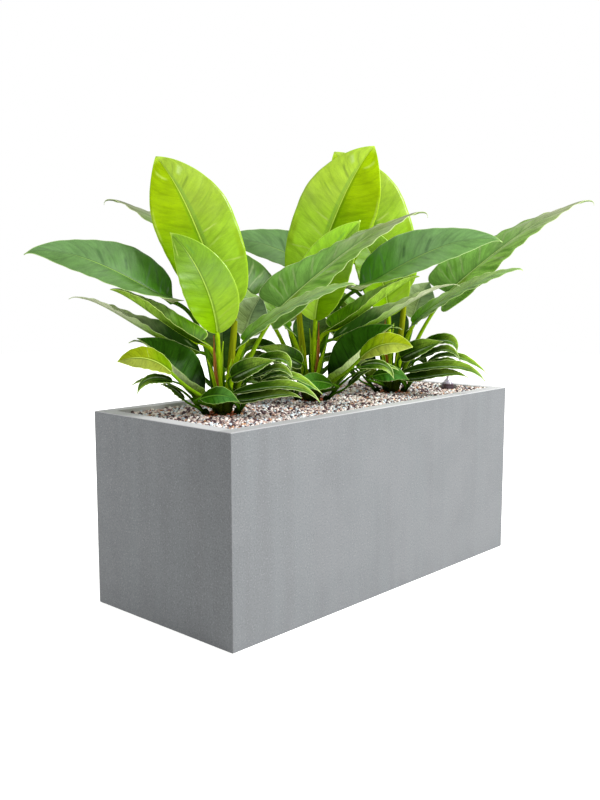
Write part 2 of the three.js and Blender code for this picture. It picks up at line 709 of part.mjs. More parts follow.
// The gauge: a dark tube down to the floor, a clear cone with a slim clear tube on it, and a float on a
// rod with a red tip.
function gaugeMeshes() {
  const foot = FLOOR + GAP;
  const inner = GAUGE.radius - GAUGE.wall;
  const tube = turned(
    [[inner, foot], [GAUGE.radius, foot], [GAUGE.radius, GAUGE.top], [inner, GAUGE.top], [inner, foot]],
    GAUGE_SIDES,
  );
  const seat = GAUGE.top + GAP;
  const cone = turned(
    [
      [GAUGE.radius - 2, seat],
      [GAUGE.radius - 1, seat],
      [GAUGE.slim, GAUGE.coneTop],
      [GAUGE.slim, GAUGE.tubeTop],
      [0, GAUGE.tubeTop + 1],
      [0, GAUGE.tubeTop],
      [GAUGE.slim - 1, GAUGE.tubeTop - 1],
      [GAUGE.slim - 1, GAUGE.coneTop],
      [GAUGE.radius - 2, seat],
    ],
    GAUGE_SIDES,
  );
  const rod = turned(
    [
      [0, foot + GAP],
      [inner - 1, foot + GAP],
      [inner - 1, foot + GAUGE.float],
      [1.2, foot + GAUGE.float],
      [1.2, GAUGE.coneTop],
      [2, GAUGE.coneTop + 1],
      [2, GAUGE.coneTop + 6],
      [0, GAUGE.coneTop + 6],
    ],
    GAUGE_SIDES,
  );
  return [
    meshOf("gauge_tube", tube, 0x3a2733, 0.35),
    meshOf("gauge_window", cone, 0xd9dde0, 0.1),
    meshOf("gauge_float", rod, 0xd0342c, 0.4),
  ];
}

const part = new THREE.Group();
part.add(meshOf("planter", geometryOf(planterSolid()), 0x8d9499, 0.75));
part.add(meshOf("granulate", geometryOf(granulateSolid()), 0xb9a79f, 0.95));
for (const plant of PLANTS) part.add(plantGroup(plant));
const gauge = new THREE.Group();
gauge.position.set(GAUGE.x, GAUGE.y, 0);
gauge.add(...gaugeMeshes());
part.add(gauge);

export default part;
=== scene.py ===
# %% [markdown]
# # Three imperial green philodendrons in a long planter
#
# The real object is a grey fibre-concrete planter filled with mixed granulate. Three philodendrons
# stand in it, each with large glossy blades on long stalks and a skirt of small leafy shoots.
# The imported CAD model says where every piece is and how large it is. This lesson gives each piece
# the surface of the real one, without moving anything: what is coarse in the model is replaced by a
# finer surface worked out from the same numbers.

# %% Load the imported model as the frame
import math

import bpy
import numpy as np
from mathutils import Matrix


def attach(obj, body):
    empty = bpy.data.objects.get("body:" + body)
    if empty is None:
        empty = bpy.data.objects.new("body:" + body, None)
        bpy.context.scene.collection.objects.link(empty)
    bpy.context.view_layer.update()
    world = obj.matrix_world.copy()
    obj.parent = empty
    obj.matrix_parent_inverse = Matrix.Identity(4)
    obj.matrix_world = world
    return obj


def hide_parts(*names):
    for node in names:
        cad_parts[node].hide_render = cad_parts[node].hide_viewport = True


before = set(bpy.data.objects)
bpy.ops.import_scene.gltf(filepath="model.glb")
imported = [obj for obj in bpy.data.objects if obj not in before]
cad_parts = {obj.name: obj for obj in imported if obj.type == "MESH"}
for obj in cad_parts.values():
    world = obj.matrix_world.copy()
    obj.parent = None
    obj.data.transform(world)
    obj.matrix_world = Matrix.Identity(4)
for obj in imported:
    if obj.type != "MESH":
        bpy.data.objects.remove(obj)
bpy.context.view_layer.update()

# %% [markdown]
# ## From arrays to meshes
#
# A mesh could be drawn face by face, but a plant has tens of thousands of points. It is far quicker
# to work out all points as one array and hand the array to Blender. Sizes are kept in millimetres
# and become metres in one place only. A heap gathers several surfaces that belong to one piece, with
# the numbers that the finish will read at each point: where it lies on a blade, how near it is to
# the margin, and whether it is a stalk.

# %% Meshes from arrays
MM = 0.001
MARKS = ("leaf_place", "leaf_trim", "stalk_place")


def place_in_scene(name, data):
    """An object of the scene, at the origin, for a mesh, a camera or a light."""
    thing = bpy.data.objects.new(name, data)
    bpy.context.scene.collection.objects.link(thing)
    return thing


class Heap:
    """Surfaces that become one mesh. Each has points in millimetres, faces as index arrays, and marks,
    which are a vector for each point under each of the names in MARKS."""

    def __init__(self):
        self.points = []
        self.faces = []
        self.marks = {name: [] for name in MARKS}
        self.count = 0

    def add(self, points, faces, **marks):
        self.faces += [part + self.count for part in faces]
        self.points.append(points)
        self.count += len(points)
        for name in MARKS:
            self.marks[name].append(marks.get(name, np.zeros((len(points), 3))))

    def mesh(self, name, smooth=True):
        """The mesh object: all corners of all faces in one list, and where each face starts in it."""
        corners = np.concatenate([part.ravel() for part in self.faces])
        sides = np.concatenate([np.full(len(part), part.shape[1]) for part in self.faces])
        mesh = bpy.data.meshes.new(name)
        mesh.vertices.add(self.count)
        mesh.vertices.foreach_set("co", np.concatenate(self.points).ravel() * MM)
        mesh.loops.add(len(corners))
        mesh.loops.foreach_set("vertex_index", corners.astype(np.int32))
        mesh.polygons.add(len(sides))
        mesh.polygons.foreach_set("loop_start", (np.cumsum(sides) - sides).astype(np.int32))
        mesh.polygons.foreach_set("use_smooth", np.full(len(sides), smooth))
        for mark, values in self.marks.items():
            if any(part.any() for part in values):
                layer = mesh.attributes.new(mark, "FLOAT_VECTOR", "POINT")
                layer.data.foreach_set("vector", np.concatenate(values).ravel())
        mesh.update(calc_edges=True)
        mesh.validate()
        return place_in_scene(name, mesh)


def dress(piece, material, slot, *nodes):
    """Gives a piece its finish, lets it ride with the planter, and stands it for its CAD nodes."""
    piece.data.materials.append(material)
    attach(piece, "root")
    if nodes:
        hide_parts(*nodes)
    return piece


def repaint(node, material):
    """Gives a CAD node, whose shape is already right, a better finish."""
    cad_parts[node].material_slots[0].material = material


print("The model has", len(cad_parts), "nodes to dress.")

# %% [markdown]
# ## Shader maths as plain expressions
#
# Node trees are hard to read when each Math node is made by hand. Here a Wire stands for one output
# of a node, and adding or multiplying wires adds the Math nodes. A Finish is a material with its
# Principled shader, and one method makes every other kind of node. A Mix node has a set of sockets
# for each kind of value, so the ones for colours are known by their numbers.

# %% Wires and finishes
MIX_SHARE, MIX_FIRST, MIX_SECOND, MIX_RESULT = 0, 6, 7, 2


class Wire:
    """An output of a shader node. Arithmetic on it makes Math nodes."""

    def __init__(self, finish, socket):
        self.finish = finish
        self.socket = socket

    def math(self, operation, *values):
        return self.finish.node("ShaderNodeMath", {"operation": operation}, [self, *values])

    def __add__(self, other):
        return self.math("ADD", other)

    def __sub__(self, other):
        return self.math("SUBTRACT", other)

    def __rsub__(self, other):
        return self.finish.node("ShaderNodeMath", {"operation": "SUBTRACT"}, [other, self])

    def __mul__(self, other):
        return self.math("MULTIPLY", other)

    __radd__ = __add__
    __rmul__ = __mul__

    def step(self, low, high):
        """A smooth step from 0 at low to 1 at high, or down again where low is the larger."""
        settings = {"interpolation_type": "SMOOTHSTEP"}
        return self.finish.node("ShaderNodeMapRange", settings, [self, low, high])


def colour(code):
    """A hexadecimal screen colour as the linear colour that shaders use."""
    parts = np.array([int(code[i : i + 2], 16) for i in (1, 3, 5)]) / 255
    linear = np.where(parts <= 0.04045, parts / 12.92, ((parts + 0.055) / 1.055) ** 2.4)
    return (*linear.tolist(), 1.0)


class Finish:
    """A material with one Principled shader. fixed holds what is the same all over the surface."""

    def __init__(self, name, fixed):
        self.material = bpy.data.materials.new(name)
        self.material.use_nodes = True
        self.tree = self.material.node_tree
        self.shader = self.tree.nodes["Principled BSDF"]
        for socket, value in fixed.items():
            self.shader.inputs[socket].default_value = value

    def node(self, kind, settings=None, inputs=(), output=0):
        """Makes a node, sets what it does, then fills its sockets with numbers, colours or wires."""
        node = self.tree.nodes.new(kind)
        for key, value in (settings or {}).items():
            setattr(node, key, value)
        pairs = inputs.items() if isinstance(inputs, dict) else enumerate(inputs)
        for key, value in pairs:
            if isinstance(value, Wire):
                self.tree.links.new(value.socket, node.inputs[key])
            else:
                node.inputs[key].default_value = value
        return Wire(self, node.outputs[output])

    def mix(self, first, second, share):
        """The first colour where share is 0, and the second where it is 1."""
        inputs = {MIX_SHARE: share, MIX_FIRST: first, MIX_SECOND: second}
        return self.node("ShaderNodeMix", {"data_type": "RGBA"}, inputs, MIX_RESULT)

    def noise(self, vector, scale, detail=2.0, roughness=0.5):
        inputs = {"Vector": vector, "Scale": scale, "Detail": detail, "Roughness": roughness}
        return self.node("ShaderNodeTexNoise", inputs=inputs)

    def parts(self, vector):
        """The three numbers of a vector."""
        split = self.node("ShaderNodeSeparateXYZ", inputs=[vector])
        return [Wire(self, socket) for socket in split.socket.node.outputs]

    def mark(self, name):
        """The three numbers of a mark that the mesh carries."""
        return self.parts(self.node("ShaderNodeAttribute", {"attribute_name": name}, output="Vector"))

    def vector(self, x, y, z=0.0):
        return self.node("ShaderNodeCombineXYZ", inputs=[x, y, z])

    def place(self):
        """The point's own place, in metres."""
        return self.node("ShaderNodeTexCoord", output="Object")

    def scaled(self, vector, factors):
        settings = {"operation": "MULTIPLY"}
        return self.node("ShaderNodeVectorMath", settings, [vector, factors])

    def shaded(self, tone, light):
        """A colour made darker or lighter: all its channels times one number."""
        return self.node("ShaderNodeVectorMath", {"operation": "SCALE"}, {0: tone, "Scale": light})

    def bump(self, height, distance, strength=1.0):
        inputs = {"Height": height, "Distance": distance, "Strength": strength}
        return self.node("ShaderNodeBump", inputs=inputs, output="Normal")

    def feed(self, **wires):
        """Feeds wires to the shader's sockets, whose names are written with _ for a space."""
        for socket, wire in wires.items():
            self.tree.links.new(wire.socket, self.shader.inputs[socket.replace("_", " ")])
        return self.material


print("Shaders are ready.")

# %% [markdown]
# ## Camera, floor and light
#
# The camera stands where the photographer stood: its place, its turn and the length of its lens were
# found from the planter's corners. The picture is upright, so Blender's sensor width lies along its
# height. The light is a bright studio: an even white surround, and one large soft light from the
# right that makes the planter's long side the brighter one. The floor glows a little, because a
# studio's white floor is lit from all sides and shows next to no shadow.

# %% Camera
PICTURE = (600, 800)
SENSOR = 36.0
FOCAL_PIXELS = 933.0
CAMERA_PLACE = (-1.550, -1.365, 0.667)
CAMERA_YAW = 47.4
CAMERA_DIP = 7.5


def add_camera():
    """A lens is the sensor's size times the focal length in pixels, over the picture's long side."""
    data = bpy.data.cameras.new("camera")
    data.sensor_width = SENSOR
    data.lens = SENSOR * FOCAL_PIXELS / max(PICTURE)
    camera = place_in_scene("camera", data)
    camera.location = CAMERA_PLACE
    camera.rotation_euler = (math.radians(90 - CAMERA_DIP), 0, math.radians(-CAMERA_YAW))
    bpy.context.scene.camera = camera
    return data.lens


print("The lens is", round(add_camera(), 2), "mm.")

# %% Light and floor
WORLD_STRENGTH = 1.0
FLOOR_SIZE = 12000
FLOOR_TONE = "#f4f4f3"
FLOOR_GLOW = 0.6
KEY_PLACE = (1.6, -3.2, 3.4)
KEY_AIM = (0.0, 0.0, 0.4)
KEY_SIZE = 2.2
KEY_POWER = 350


def add_area_light(name, place, aim, size, power):
    """A square soft light at place, in metres, that looks at aim."""
    data = bpy.data.lights.new(name, "AREA")
    data.size = size
    data.energy = power
    light = place_in_scene(name, data)
    light.location = place
    way = np.array(aim) - np.array(place)
    flat = math.hypot(way[0], way[1])
    light.rotation_euler = (math.atan2(flat, -way[2]), 0, math.atan2(-way[0], way[1]))


def add_surround():
    """An even white surround, and a wide pale floor under the planter."""
    world = bpy.data.worlds.new("studio")
    world.use_nodes = True
    world.node_tree.nodes["Background"].inputs["Color"].default_value = (1, 1, 1, 1)
    world.node_tree.nodes["Background"].inputs["Strength"].default_value = WORLD_STRENGTH
    bpy.context.scene.world = world
    half = FLOOR_SIZE / 2
    floor = Heap()
    corners = np.array([[-half, -half, 0], [half, -half, 0], [half, half, 0], [-half, half, 0]], float)
    floor.add(corners, [np.array([[0, 1, 2, 3]])])
    piece = floor.mesh("floor", smooth=False)
    fixed = {"Base Color": colour(FLOOR_TONE), "Roughness": 0.9, "Emission Strength": FLOOR_GLOW}
    plain = Finish("floor_paper", {**fixed, "Emission Color": colour(FLOOR_TONE)})
    piece.data.materials.append(plain.material)


add_surround()
add_area_light("key", KEY_PLACE, KEY_AIM, KEY_SIZE, KEY_POWER)
bpy.context.scene.view_settings.view_transform = "Standard"
print("The studio is lit.")

# %% [markdown]
# ## The planter
#
# The planter is cast from fibre-concrete. Its form is right in the model, so only the finish is new:
# a cool grey with faint upright streaks from the mould, fine dark and pale specks, and a rim that is
# paler because its face was ground. An image could show all this, but noise has no seams and needs
# no unwrapping. Noise that is stretched along the vertical makes the streaks.

# %% The planter's finish
PLANTER_HEIGHT = 0.400
PLANTER_INNER = (860.0, 340.0)
END_FACE = -0.4595
WALL_TONES = ("#5f6163", "#636668", "#67696b")
SPECK_TONES = ("#4a4d4f", "#828587")
RIM_TONES = ("#9f9fa1", "#aeaeb0")
# The inner walls' paler tone is painted light against the shade inside the planter.
INNER_PAINTED_LIGHT_TONE = "#b9b9b8"


def concrete():
    """Streaks are noise stretched along Z, and clouds and specks are coarse and fine noise. Painted shade
    darkens the end by the viewer toward the near corner, and the long side of the rim too. The rim is
    told by its height, and the inner walls by their distance from the middle. The paler tone of the
    inner walls is painted light."""
    finish = Finish("fibre_concrete", {"Specular IOR Level": 0.3})
    place = finish.place()
    along_x, along_y, height = finish.parts(place)
    streaks = finish.noise(finish.scaled(place, (30, 30, 2.2)), 1.0, 3.0)
    clouds = finish.noise(place, 7.0, 4.0, 0.6)
    specks = finish.noise(place, 330.0, 2.0, 0.7)
    grain = finish.noise(place, 900.0, 3.0)
    plain, streaked, cloudy = (colour(code) for code in WALL_TONES)
    dark_speck, pale_speck = (colour(code) for code in SPECK_TONES)
    tone = finish.mix(plain, streaked, streaks.step(0.3, 0.7))
    tone = finish.mix(tone, cloudy, clouds.step(0.4, 0.65) * 0.7)
    tone = finish.mix(tone, dark_speck, specks.step(0.52, 0.7) * 0.6)
    tone = finish.mix(tone, pale_speck, specks.step(0.44, 0.3) * 0.55)
    # Painted shade: the end by the viewer darkens toward the near corner.
    near_end = along_x.step(END_FACE + 0.0015, END_FACE)
    tone = finish.shaded(tone, 1.0 - near_end * (along_y.step(0.15, -0.2) * 0.26 - 0.04))
    ground = finish.mix(*(colour(code) for code in RIM_TONES), clouds)
    # Painted shade: the long side of the rim darkens toward the near corner.
    rim_painted_shade = along_y.step(-0.166, -0.172) * along_x.step(0.0, -0.22)
    rim = height.step(PLANTER_HEIGHT - 0.0022, PLANTER_HEIGHT - 0.0004)
    tone = finish.mix(tone, finish.shaded(ground, 1.04 - rim_painted_shade * 0.27), rim)
    # Painted light: the inner walls take a paler tone.
    wall_x, wall_y = (side / 2 * MM + 0.001 for side in PLANTER_INNER)
    inside_x = along_x.math("ABSOLUTE").step(wall_x, wall_x - 0.0005)
    inside_y = along_y.math("ABSOLUTE").step(wall_y, wall_y - 0.0005)
    tone = finish.mix(tone, colour(INNER_PAINTED_LIGHT_TONE), inside_x * inside_y)
    return finish.feed(
        Base_Color=tone,
        Roughness=clouds * 0.12 + 0.62,
        Normal=finish.bump(specks * 0.6 + grain * 0.4, 0.0004, 0.5),
    )


repaint("planter", concrete())
print("The planter's walls have", len(WALL_TONES), "greys and its rim", len(RIM_TONES))

# %% [markdown]
# ## Where the plants and the gauge stand
#
# The three plants stand in a row in the granulate, and a small water gauge stands near the right-hand
# rim. A plant is one drawing in its own frame, with x to the right, y away from the viewer and z up
# from the granulate. Each copy has its own place, turn, size and hand. shade paints shade on a plant's
# large blades where it is above 0, and light where it is below. own_shade paints it on single blades
# that lie in a neighbour's shadow, and lost names the blades that a plant doesn't have.

# %% Plants and gauge
FILL_LEVEL = 390.0
NECK_RADIUS = 44.0
GAUGE_PLACE = (410.0, -65.0)
GAUGE_RADIUS = 15.0
PLANTS = {
    "left": {
        "place": (-268.0, 30.0), "turn": -42.6, "size": 1, "hand": 1,
        "shade": 0.22, "own_shade": {}, "lost": [],
    },
    "middle": {
        "place": (12.0, 36.0), "turn": -48.6, "size": 1.097, "hand": -1,
        "shade": -0.45, "own_shade": {"long": 1.0, "narrow_right": 0.6}, "lost": [],
    },
    "right": {
        "place": (258.0, -2.0), "turn": -51, "size": 1.115, "hand": 1,
        "shade": 0.05, "own_shade": {}, "lost": ["yellow_left"],
    },
}
print("Plants stand at", [plant["place"] for plant in PLANTS.values()])

# %% [markdown]
# ## Granulate
#
# The granulate is a mix of crushed stone in several colours: off-white, beige, plum-brown, pale
# ice-blue and a rare amber one. A bump could suggest it, but stones cast shadows on each other and
# stand out against the rim. The model's granulate is the bed. The grains are icosahedra, each turned,
# squashed and dented at random, on a jittered grid over the bed. They are heaped up to the rim at the
# right-hand end, with a hollow before the gauge. One colour is one piece, so that each has a finish of
# its own. All grains come from one array of turned copies.

# %% Stones
GOLDEN = (1 + math.sqrt(5)) / 2
ICOSAHEDRON = np.array(
    [[-1, GOLDEN, 0], [1, GOLDEN, 0], [-1, -GOLDEN, 0], [1, -GOLDEN, 0],
     [0, -1, GOLDEN], [0, 1, GOLDEN], [0, -1, -GOLDEN], [0, 1, -GOLDEN],
     [GOLDEN, 0, -1], [GOLDEN, 0, 1], [-GOLDEN, 0, -1], [-GOLDEN, 0, 1]]
) / math.hypot(1, GOLDEN)
ICOSAHEDRON_FACES = np.array(
    [[0, 11, 5], [0, 5, 1], [0, 1, 7], [0, 7, 10], [0, 10, 11], [1, 5, 9], [5, 11, 4],
     [11, 10, 2], [10, 7, 6], [7, 1, 8], [3, 9, 4], [3, 4, 2], [3, 2, 6], [3, 6, 8], [3, 8, 9],
     [4, 9, 5], [2, 4, 11], [6, 2, 10], [8, 6, 7], [9, 8, 1]]
)


def random_turns(random, count):
    """Rotation matrices of random unit quaternions w, x, y, z, written out entry by entry."""
    q = random.normal(size=(count, 4))
    w, x, y, z = (q / np.linalg.norm(q, axis=1, keepdims=True)).T
    rows = [
        [1 - 2 * (y * y + z * z), 2 * (x * y - w * z), 2 * (x * z + w * y)],
        [2 * (x * y + w * z), 1 - 2 * (x * x + z * z), 2 * (y * z - w * x)],
        [2 * (x * z - w * y), 2 * (y * z + w * x), 1 - 2 * (x * x + y * y)],
    ]
    return np.moveaxis(np.array(rows), 2, 0)


def stones(random, centres, radii, shape, faces, dent):
    """Copies of a shape at the centres: dented, stretched on three axes and turned, all at random."""
    count = len(centres)
    stretch = random.uniform(0.75, 1.15, (count, 1, 3))
    dents = 1 + random.uniform(-dent, dent, (count, len(shape), 1))
    local = shape[None] * dents * stretch * radii[:, None, None]
    points = np.einsum("nij,nkj->nki", random_turns(random, count), local) + centres[:, None, :]
    index = faces[None] + (np.arange(count) * len(shape))[:, None, None]
    return points.reshape(-1, 3), index.reshape(-1, faces.shape[1])


print("A stone has", len(ICOSAHEDRON_FACES), "faces.")

# %% Grains
GRAIN_PITCH = 6.4
GRAIN_RADIUS = (2.7, 4.4)
GRAIN_DENT = 0.16
UPPER_SHARE = 0.35
UPPER_LIFT = 2.2
HEAP_START = 370.0
HEAP_LENGTH = 45.0
HEAP_RISE = 7.0
HEAP_LIMIT = 6.5
HOLLOW_DEPTH = 4.0
HOLLOW_REACH = 25.0
HOLLOW_EDGE = 8.0


def heaping(flat):
    """How far the grains rise: up to HEAP_RISE at the right-hand end, but not in the hollow.

    The hollow fades out from HOLLOW_REACH to twice that far from the gauge, ends behind the gauge as
    the viewer sees it, and is three HOLLOW_EDGE wide to either side."""
    off = flat - GAUGE_PLACE
    yaw = math.radians(CAMERA_YAW)
    behind = off @ (math.sin(yaw), math.cos(yaw))
    beside = np.abs(off @ (math.cos(yaw), -math.sin(yaw)))
    hollow = np.clip(2 - np.hypot(*off.T) / HOLLOW_REACH, 0, 1)
    hollow = hollow * np.clip(0.5 - behind / HOLLOW_EDGE, 0, 1) * np.clip(3 - beside / HOLLOW_EDGE, 0, 1)
    rise = np.clip((flat[:, 0] - HEAP_START) / HEAP_LENGTH, 0, 1)
    return HEAP_RISE * rise * (1 - hollow) - HOLLOW_DEPTH * hollow


def grain_centres(random):
    """A jittered grid inside the rim: a full lower and a thin upper layer, clear of crowns and gauge."""
    columns, rows = (int(side / GRAIN_PITCH) for side in PLANTER_INNER)
    x, y = np.meshgrid(np.arange(columns), np.arange(rows))
    lower = np.stack([x.ravel() + 0.5, y.ravel() + 0.5], 1) * GRAIN_PITCH - np.array(PLANTER_INNER) / 2
    upper = lower[random.random(len(lower)) < UPPER_SHARE]
    flat = np.concatenate([lower, upper])
    flat = flat + random.uniform(-0.45, 0.45, flat.shape) * GRAIN_PITCH
    height = FILL_LEVEL + random.uniform(-1.2, 1.0, len(flat))
    height[len(lower) :] += UPPER_LIFT
    height = np.minimum(height + heaping(flat), FILL_LEVEL + HEAP_LIMIT)
    clear = (np.abs(flat) < np.array(PLANTER_INNER) / 2 - GRAIN_RADIUS[1] * 0.8).all(1)
    clear &= np.hypot(*(flat - GAUGE_PLACE).T) > GAUGE_RADIUS + 3
    for plant in PLANTS.values():
        clear &= np.hypot(*(flat - plant["place"]).T) > NECK_RADIUS
    return np.column_stack([flat, height])[clear]


print("Grains lie", GRAIN_PITCH, "mm apart.")

# %% The grains' colours
GRAIN_TONES = {
    "white": (0.30, "#f0e9e2", "#cfc4bd"),
    "beige": (0.24, "#cdb4a8", "#a58c85"),
    "plum": (0.29, "#5e4548", "#37252b"),
    "ice": (0.14, "#d5dfe4", "#a9b8c2"),
    "amber": (0.03, "#c99668", "#96633c"),
}


def grain_finish(name, light, dark):
    """A stone of two tones in soft clouds, with a fine rough face."""
    finish = Finish(name, {"Specular IOR Level": 0.35})
    place = finish.place()
    clouds = finish.noise(place, 160.0, 3.0)
    tone = finish.mix(colour(light), colour(dark), clouds.step(0.35, 0.65))
    pits = finish.noise(place, 1500.0, 2.0)
    return finish.feed(Base_Color=tone, Roughness=clouds * 0.2 + 0.55, Normal=finish.bump(pits, 0.0003))


def add_grains():
    """One piece for each colour. A random share of the grains gets each colour."""
    random = np.random.default_rng(11)
    centres = grain_centres(random)
    shares = np.cumsum([tones[0] for tones in GRAIN_TONES.values()])
    draw = np.searchsorted(shares, random.random(len(centres)) * shares[-1])
    for number, (name, (_, light, dark)) in enumerate(GRAIN_TONES.items()):
        mine = centres[draw == number]
        radii = random.uniform(*GRAIN_RADIUS, len(mine))
        heap = Heap()
        points, faces = stones(random, mine, radii, ICOSAHEDRON, ICOSAHEDRON_FACES, GRAIN_DENT)
        heap.add(points, [faces])
        piece = heap.mesh("grains_" + name, smooth=False)
        dress(piece, grain_finish("grain_" + name, light, dark), "granulate")
        print(len(mine), name, "grains")


repaint("granulate", grain_finish("granulate_bed", "#7d6c68", "#463638"))
add_grains()

# %% [markdown]
# ## The shape of a blade
#
# A philodendron blade is a thin sheet on a midrib. The midrib is a smooth curve in space. On either
# side the half-blade stands up from it by an angle, is as wide as the outline says, and has base
# lobes that reach back past the stalk. The veins lie a little deep on the upper side, so the blade
# is quilted between them. Solidify could thicken a sheet, but a closed pair of faces gives control
# of the margin, of the groove above the midrib and of the ridge below it.

# %% Curves and the outline of a blade
THROUGH_FOUR = np.linalg.inv(np.vander([0, 1 / 3, 2 / 3, 1], 4, increasing=True))


def unit(vectors):
    """Each vector over its own length."""
    return vectors / np.linalg.norm(vectors, axis=-1, keepdims=True)


def midrib_curve(points, u):
    """The cubic in u through four points at u = 0, 1/3, 2/3 and 1, and its direction."""
    powers = np.stack([u**0, u, u**2, u**3], -1)
    slopes = np.stack([u * 0, u**0, 2 * u, 3 * u**2], -1)
    return powers @ THROUGH_FOUR @ points, unit(slopes @ THROUGH_FOUR @ points)


def outline(u, leaf):
    """Share of the greatest half-width: part of an ellipse up to the widest place, then a taper."""
    rising = (1 - (1 - np.minimum(u / leaf["widest"], 1)) ** 2) ** leaf["base"]
    past = np.clip((u - leaf["widest"]) / (1 - leaf["widest"]), 0, 1)
    return np.where(u < leaf["widest"], rising, (1 - past**2) ** leaf["taper"])


LEAF_DEFAULTS = {
    "widest": 0.35, "base": 0.5, "taper": 1.15, "rise": (12, 12), "rise_tip": None, "curl": (0, 0),
    "wave": 1, "waves": 2, "lobe": 4, "veins": 9, "quilt": 1.0, "neck": 1.0, "hook": 0, "frill": 0.8,
}


def grown(leaf, plant):
    """The leaf's numbers at its plant's size and hand. A left-handed plant is mirrored in x."""
    hand = np.array([plant["hand"], 1, 1])
    big = {**LEAF_DEFAULTS, **leaf}
    big["rise_tip"] = big["rise_tip"] or big["rise"]
    big["hand"] = plant["hand"]
    big["midrib"] = np.array(big["midrib"], float) * hand * plant["size"]
    big["face"] = unit(np.array(big["face"], float) * hand)
    big["half"] = big["half"] * plant["size"]
    return big


print("A leaf has", len(LEAF_DEFAULTS), "numbers that it may leave out.")

# %% The middle sheet of a blade
HEEL_HALF = 3.2
TIP_HALF = 0.8
LOBE_PEAK = 2.6
HOOK_FROM = 0.93


def blade_sheet(leaf, u, v):
    """The middle sheet of a blade on a grid: u along the midrib from 0 to 1, v across from -1 to 1.

    A point is the midrib's point, plus v times the width times the cosine of the angle across, plus
    |v| times the width times the sine of the angle up, plus the wave up, less the lobes' reach times v
    squared along the midrib, less the hook up. The width is the outline times the half-width. The
    angle is the side's rise with its curl. The wave is a sine along the margin that grows with v
    squared. The hook bends the last bit of the tip down."""
    spine, along = midrib_curve(leaf["midrib"], u[:, 0])
    spine, along = spine[:, None], along[:, None]
    face = leaf["face"][0] + (leaf["face"][1] - leaf["face"][0]) * u[..., None]
    across = unit(np.cross(along, face))
    up = np.cross(across, along)
    side = (v * leaf["hand"] >= 0).astype(int)
    reach = np.abs(v)
    width = np.maximum(leaf["half"] * outline(u, leaf), HEEL_HALF * (1 - u) + TIP_HALF * u)
    start, end, curl = (np.array(leaf[key])[side] for key in ("rise", "rise_tip", "curl"))
    angle = np.radians(start + (end - start) * u + curl * reach)
    wave = leaf["wave"] * np.sin(2 * np.pi * leaf["waves"] * u + side * 2) * v**2 * np.sin(np.pi * u)
    share = u / leaf["widest"]
    back = np.maximum(0, 1 - share) * np.sqrt(share) * LOBE_PEAK * leaf["lobe"]
    lift = (width * reach * np.sin(angle) + wave)[..., None]
    point = spine + across * (np.sign(v) * width * reach * np.cos(angle))[..., None]
    point = point + up * lift - along * (back * v**2)[..., None]
    point = point - up * (leaf["hook"] * np.clip((u - HOOK_FROM) / (1 - HOOK_FROM), 0, 1) ** 2)[..., None]
    normal = up * np.cos(angle)[..., None] - across * (np.sign(v) * np.sin(angle))[..., None]
    return point, unit(normal), width


print("A blade's heel is", 2 * HEEL_HALF, "mm wide at least.")

# %% Veins and the finished blade
THICKNESS = 1.0
VEIN_NUMBERS = np.arange(-6, 34)
VEIN_SWEEP = 0.1
VEIN_SHIFT = 0.22
QUILT_DEPTH = 2.2
GROOVE_DEPTH = 0.9
RIDGE_DEPTH = 3.0
RIB_HALF = 2.4


def vein_phase(leaf, u, v, random):
    """Whole at each side vein. Veins leave the midrib, lean to the tip and are unevenly spaced."""
    reach = np.abs(v)
    side = (v * leaf["hand"] >= 0).astype(int)
    phase = leaf["veins"] * (u - VEIN_SWEEP * (reach + 0.5 * reach**2)) + side * 0.5
    shift = random.uniform(-VEIN_SHIFT, VEIN_SHIFT, len(VEIN_NUMBERS))
    return phase + np.interp(phase + 10 * side, VEIN_NUMBERS + 1, shift)


def grid_faces(rows, columns):
    """Quads of a closed sheet: the upper grid, the lower grid turned over, and the rim between them."""
    index = np.arange(rows * columns).reshape(rows, columns)
    a, b, c, d = index[:-1, :-1], index[:-1, 1:], index[1:, 1:], index[1:, :-1]
    upper = np.stack([a, b, c, d], -1).reshape(-1, 4)
    lower = rows * columns
    rim = np.concatenate([index[0, :-1], index[:-1, -1], index[-1, :0:-1], index[:0:-1, 0]])
    ahead = np.roll(rim, -1)
    edge = np.stack([rim, rim + lower, ahead + lower, ahead], -1)
    return [upper, upper[:, ::-1] + lower, edge]


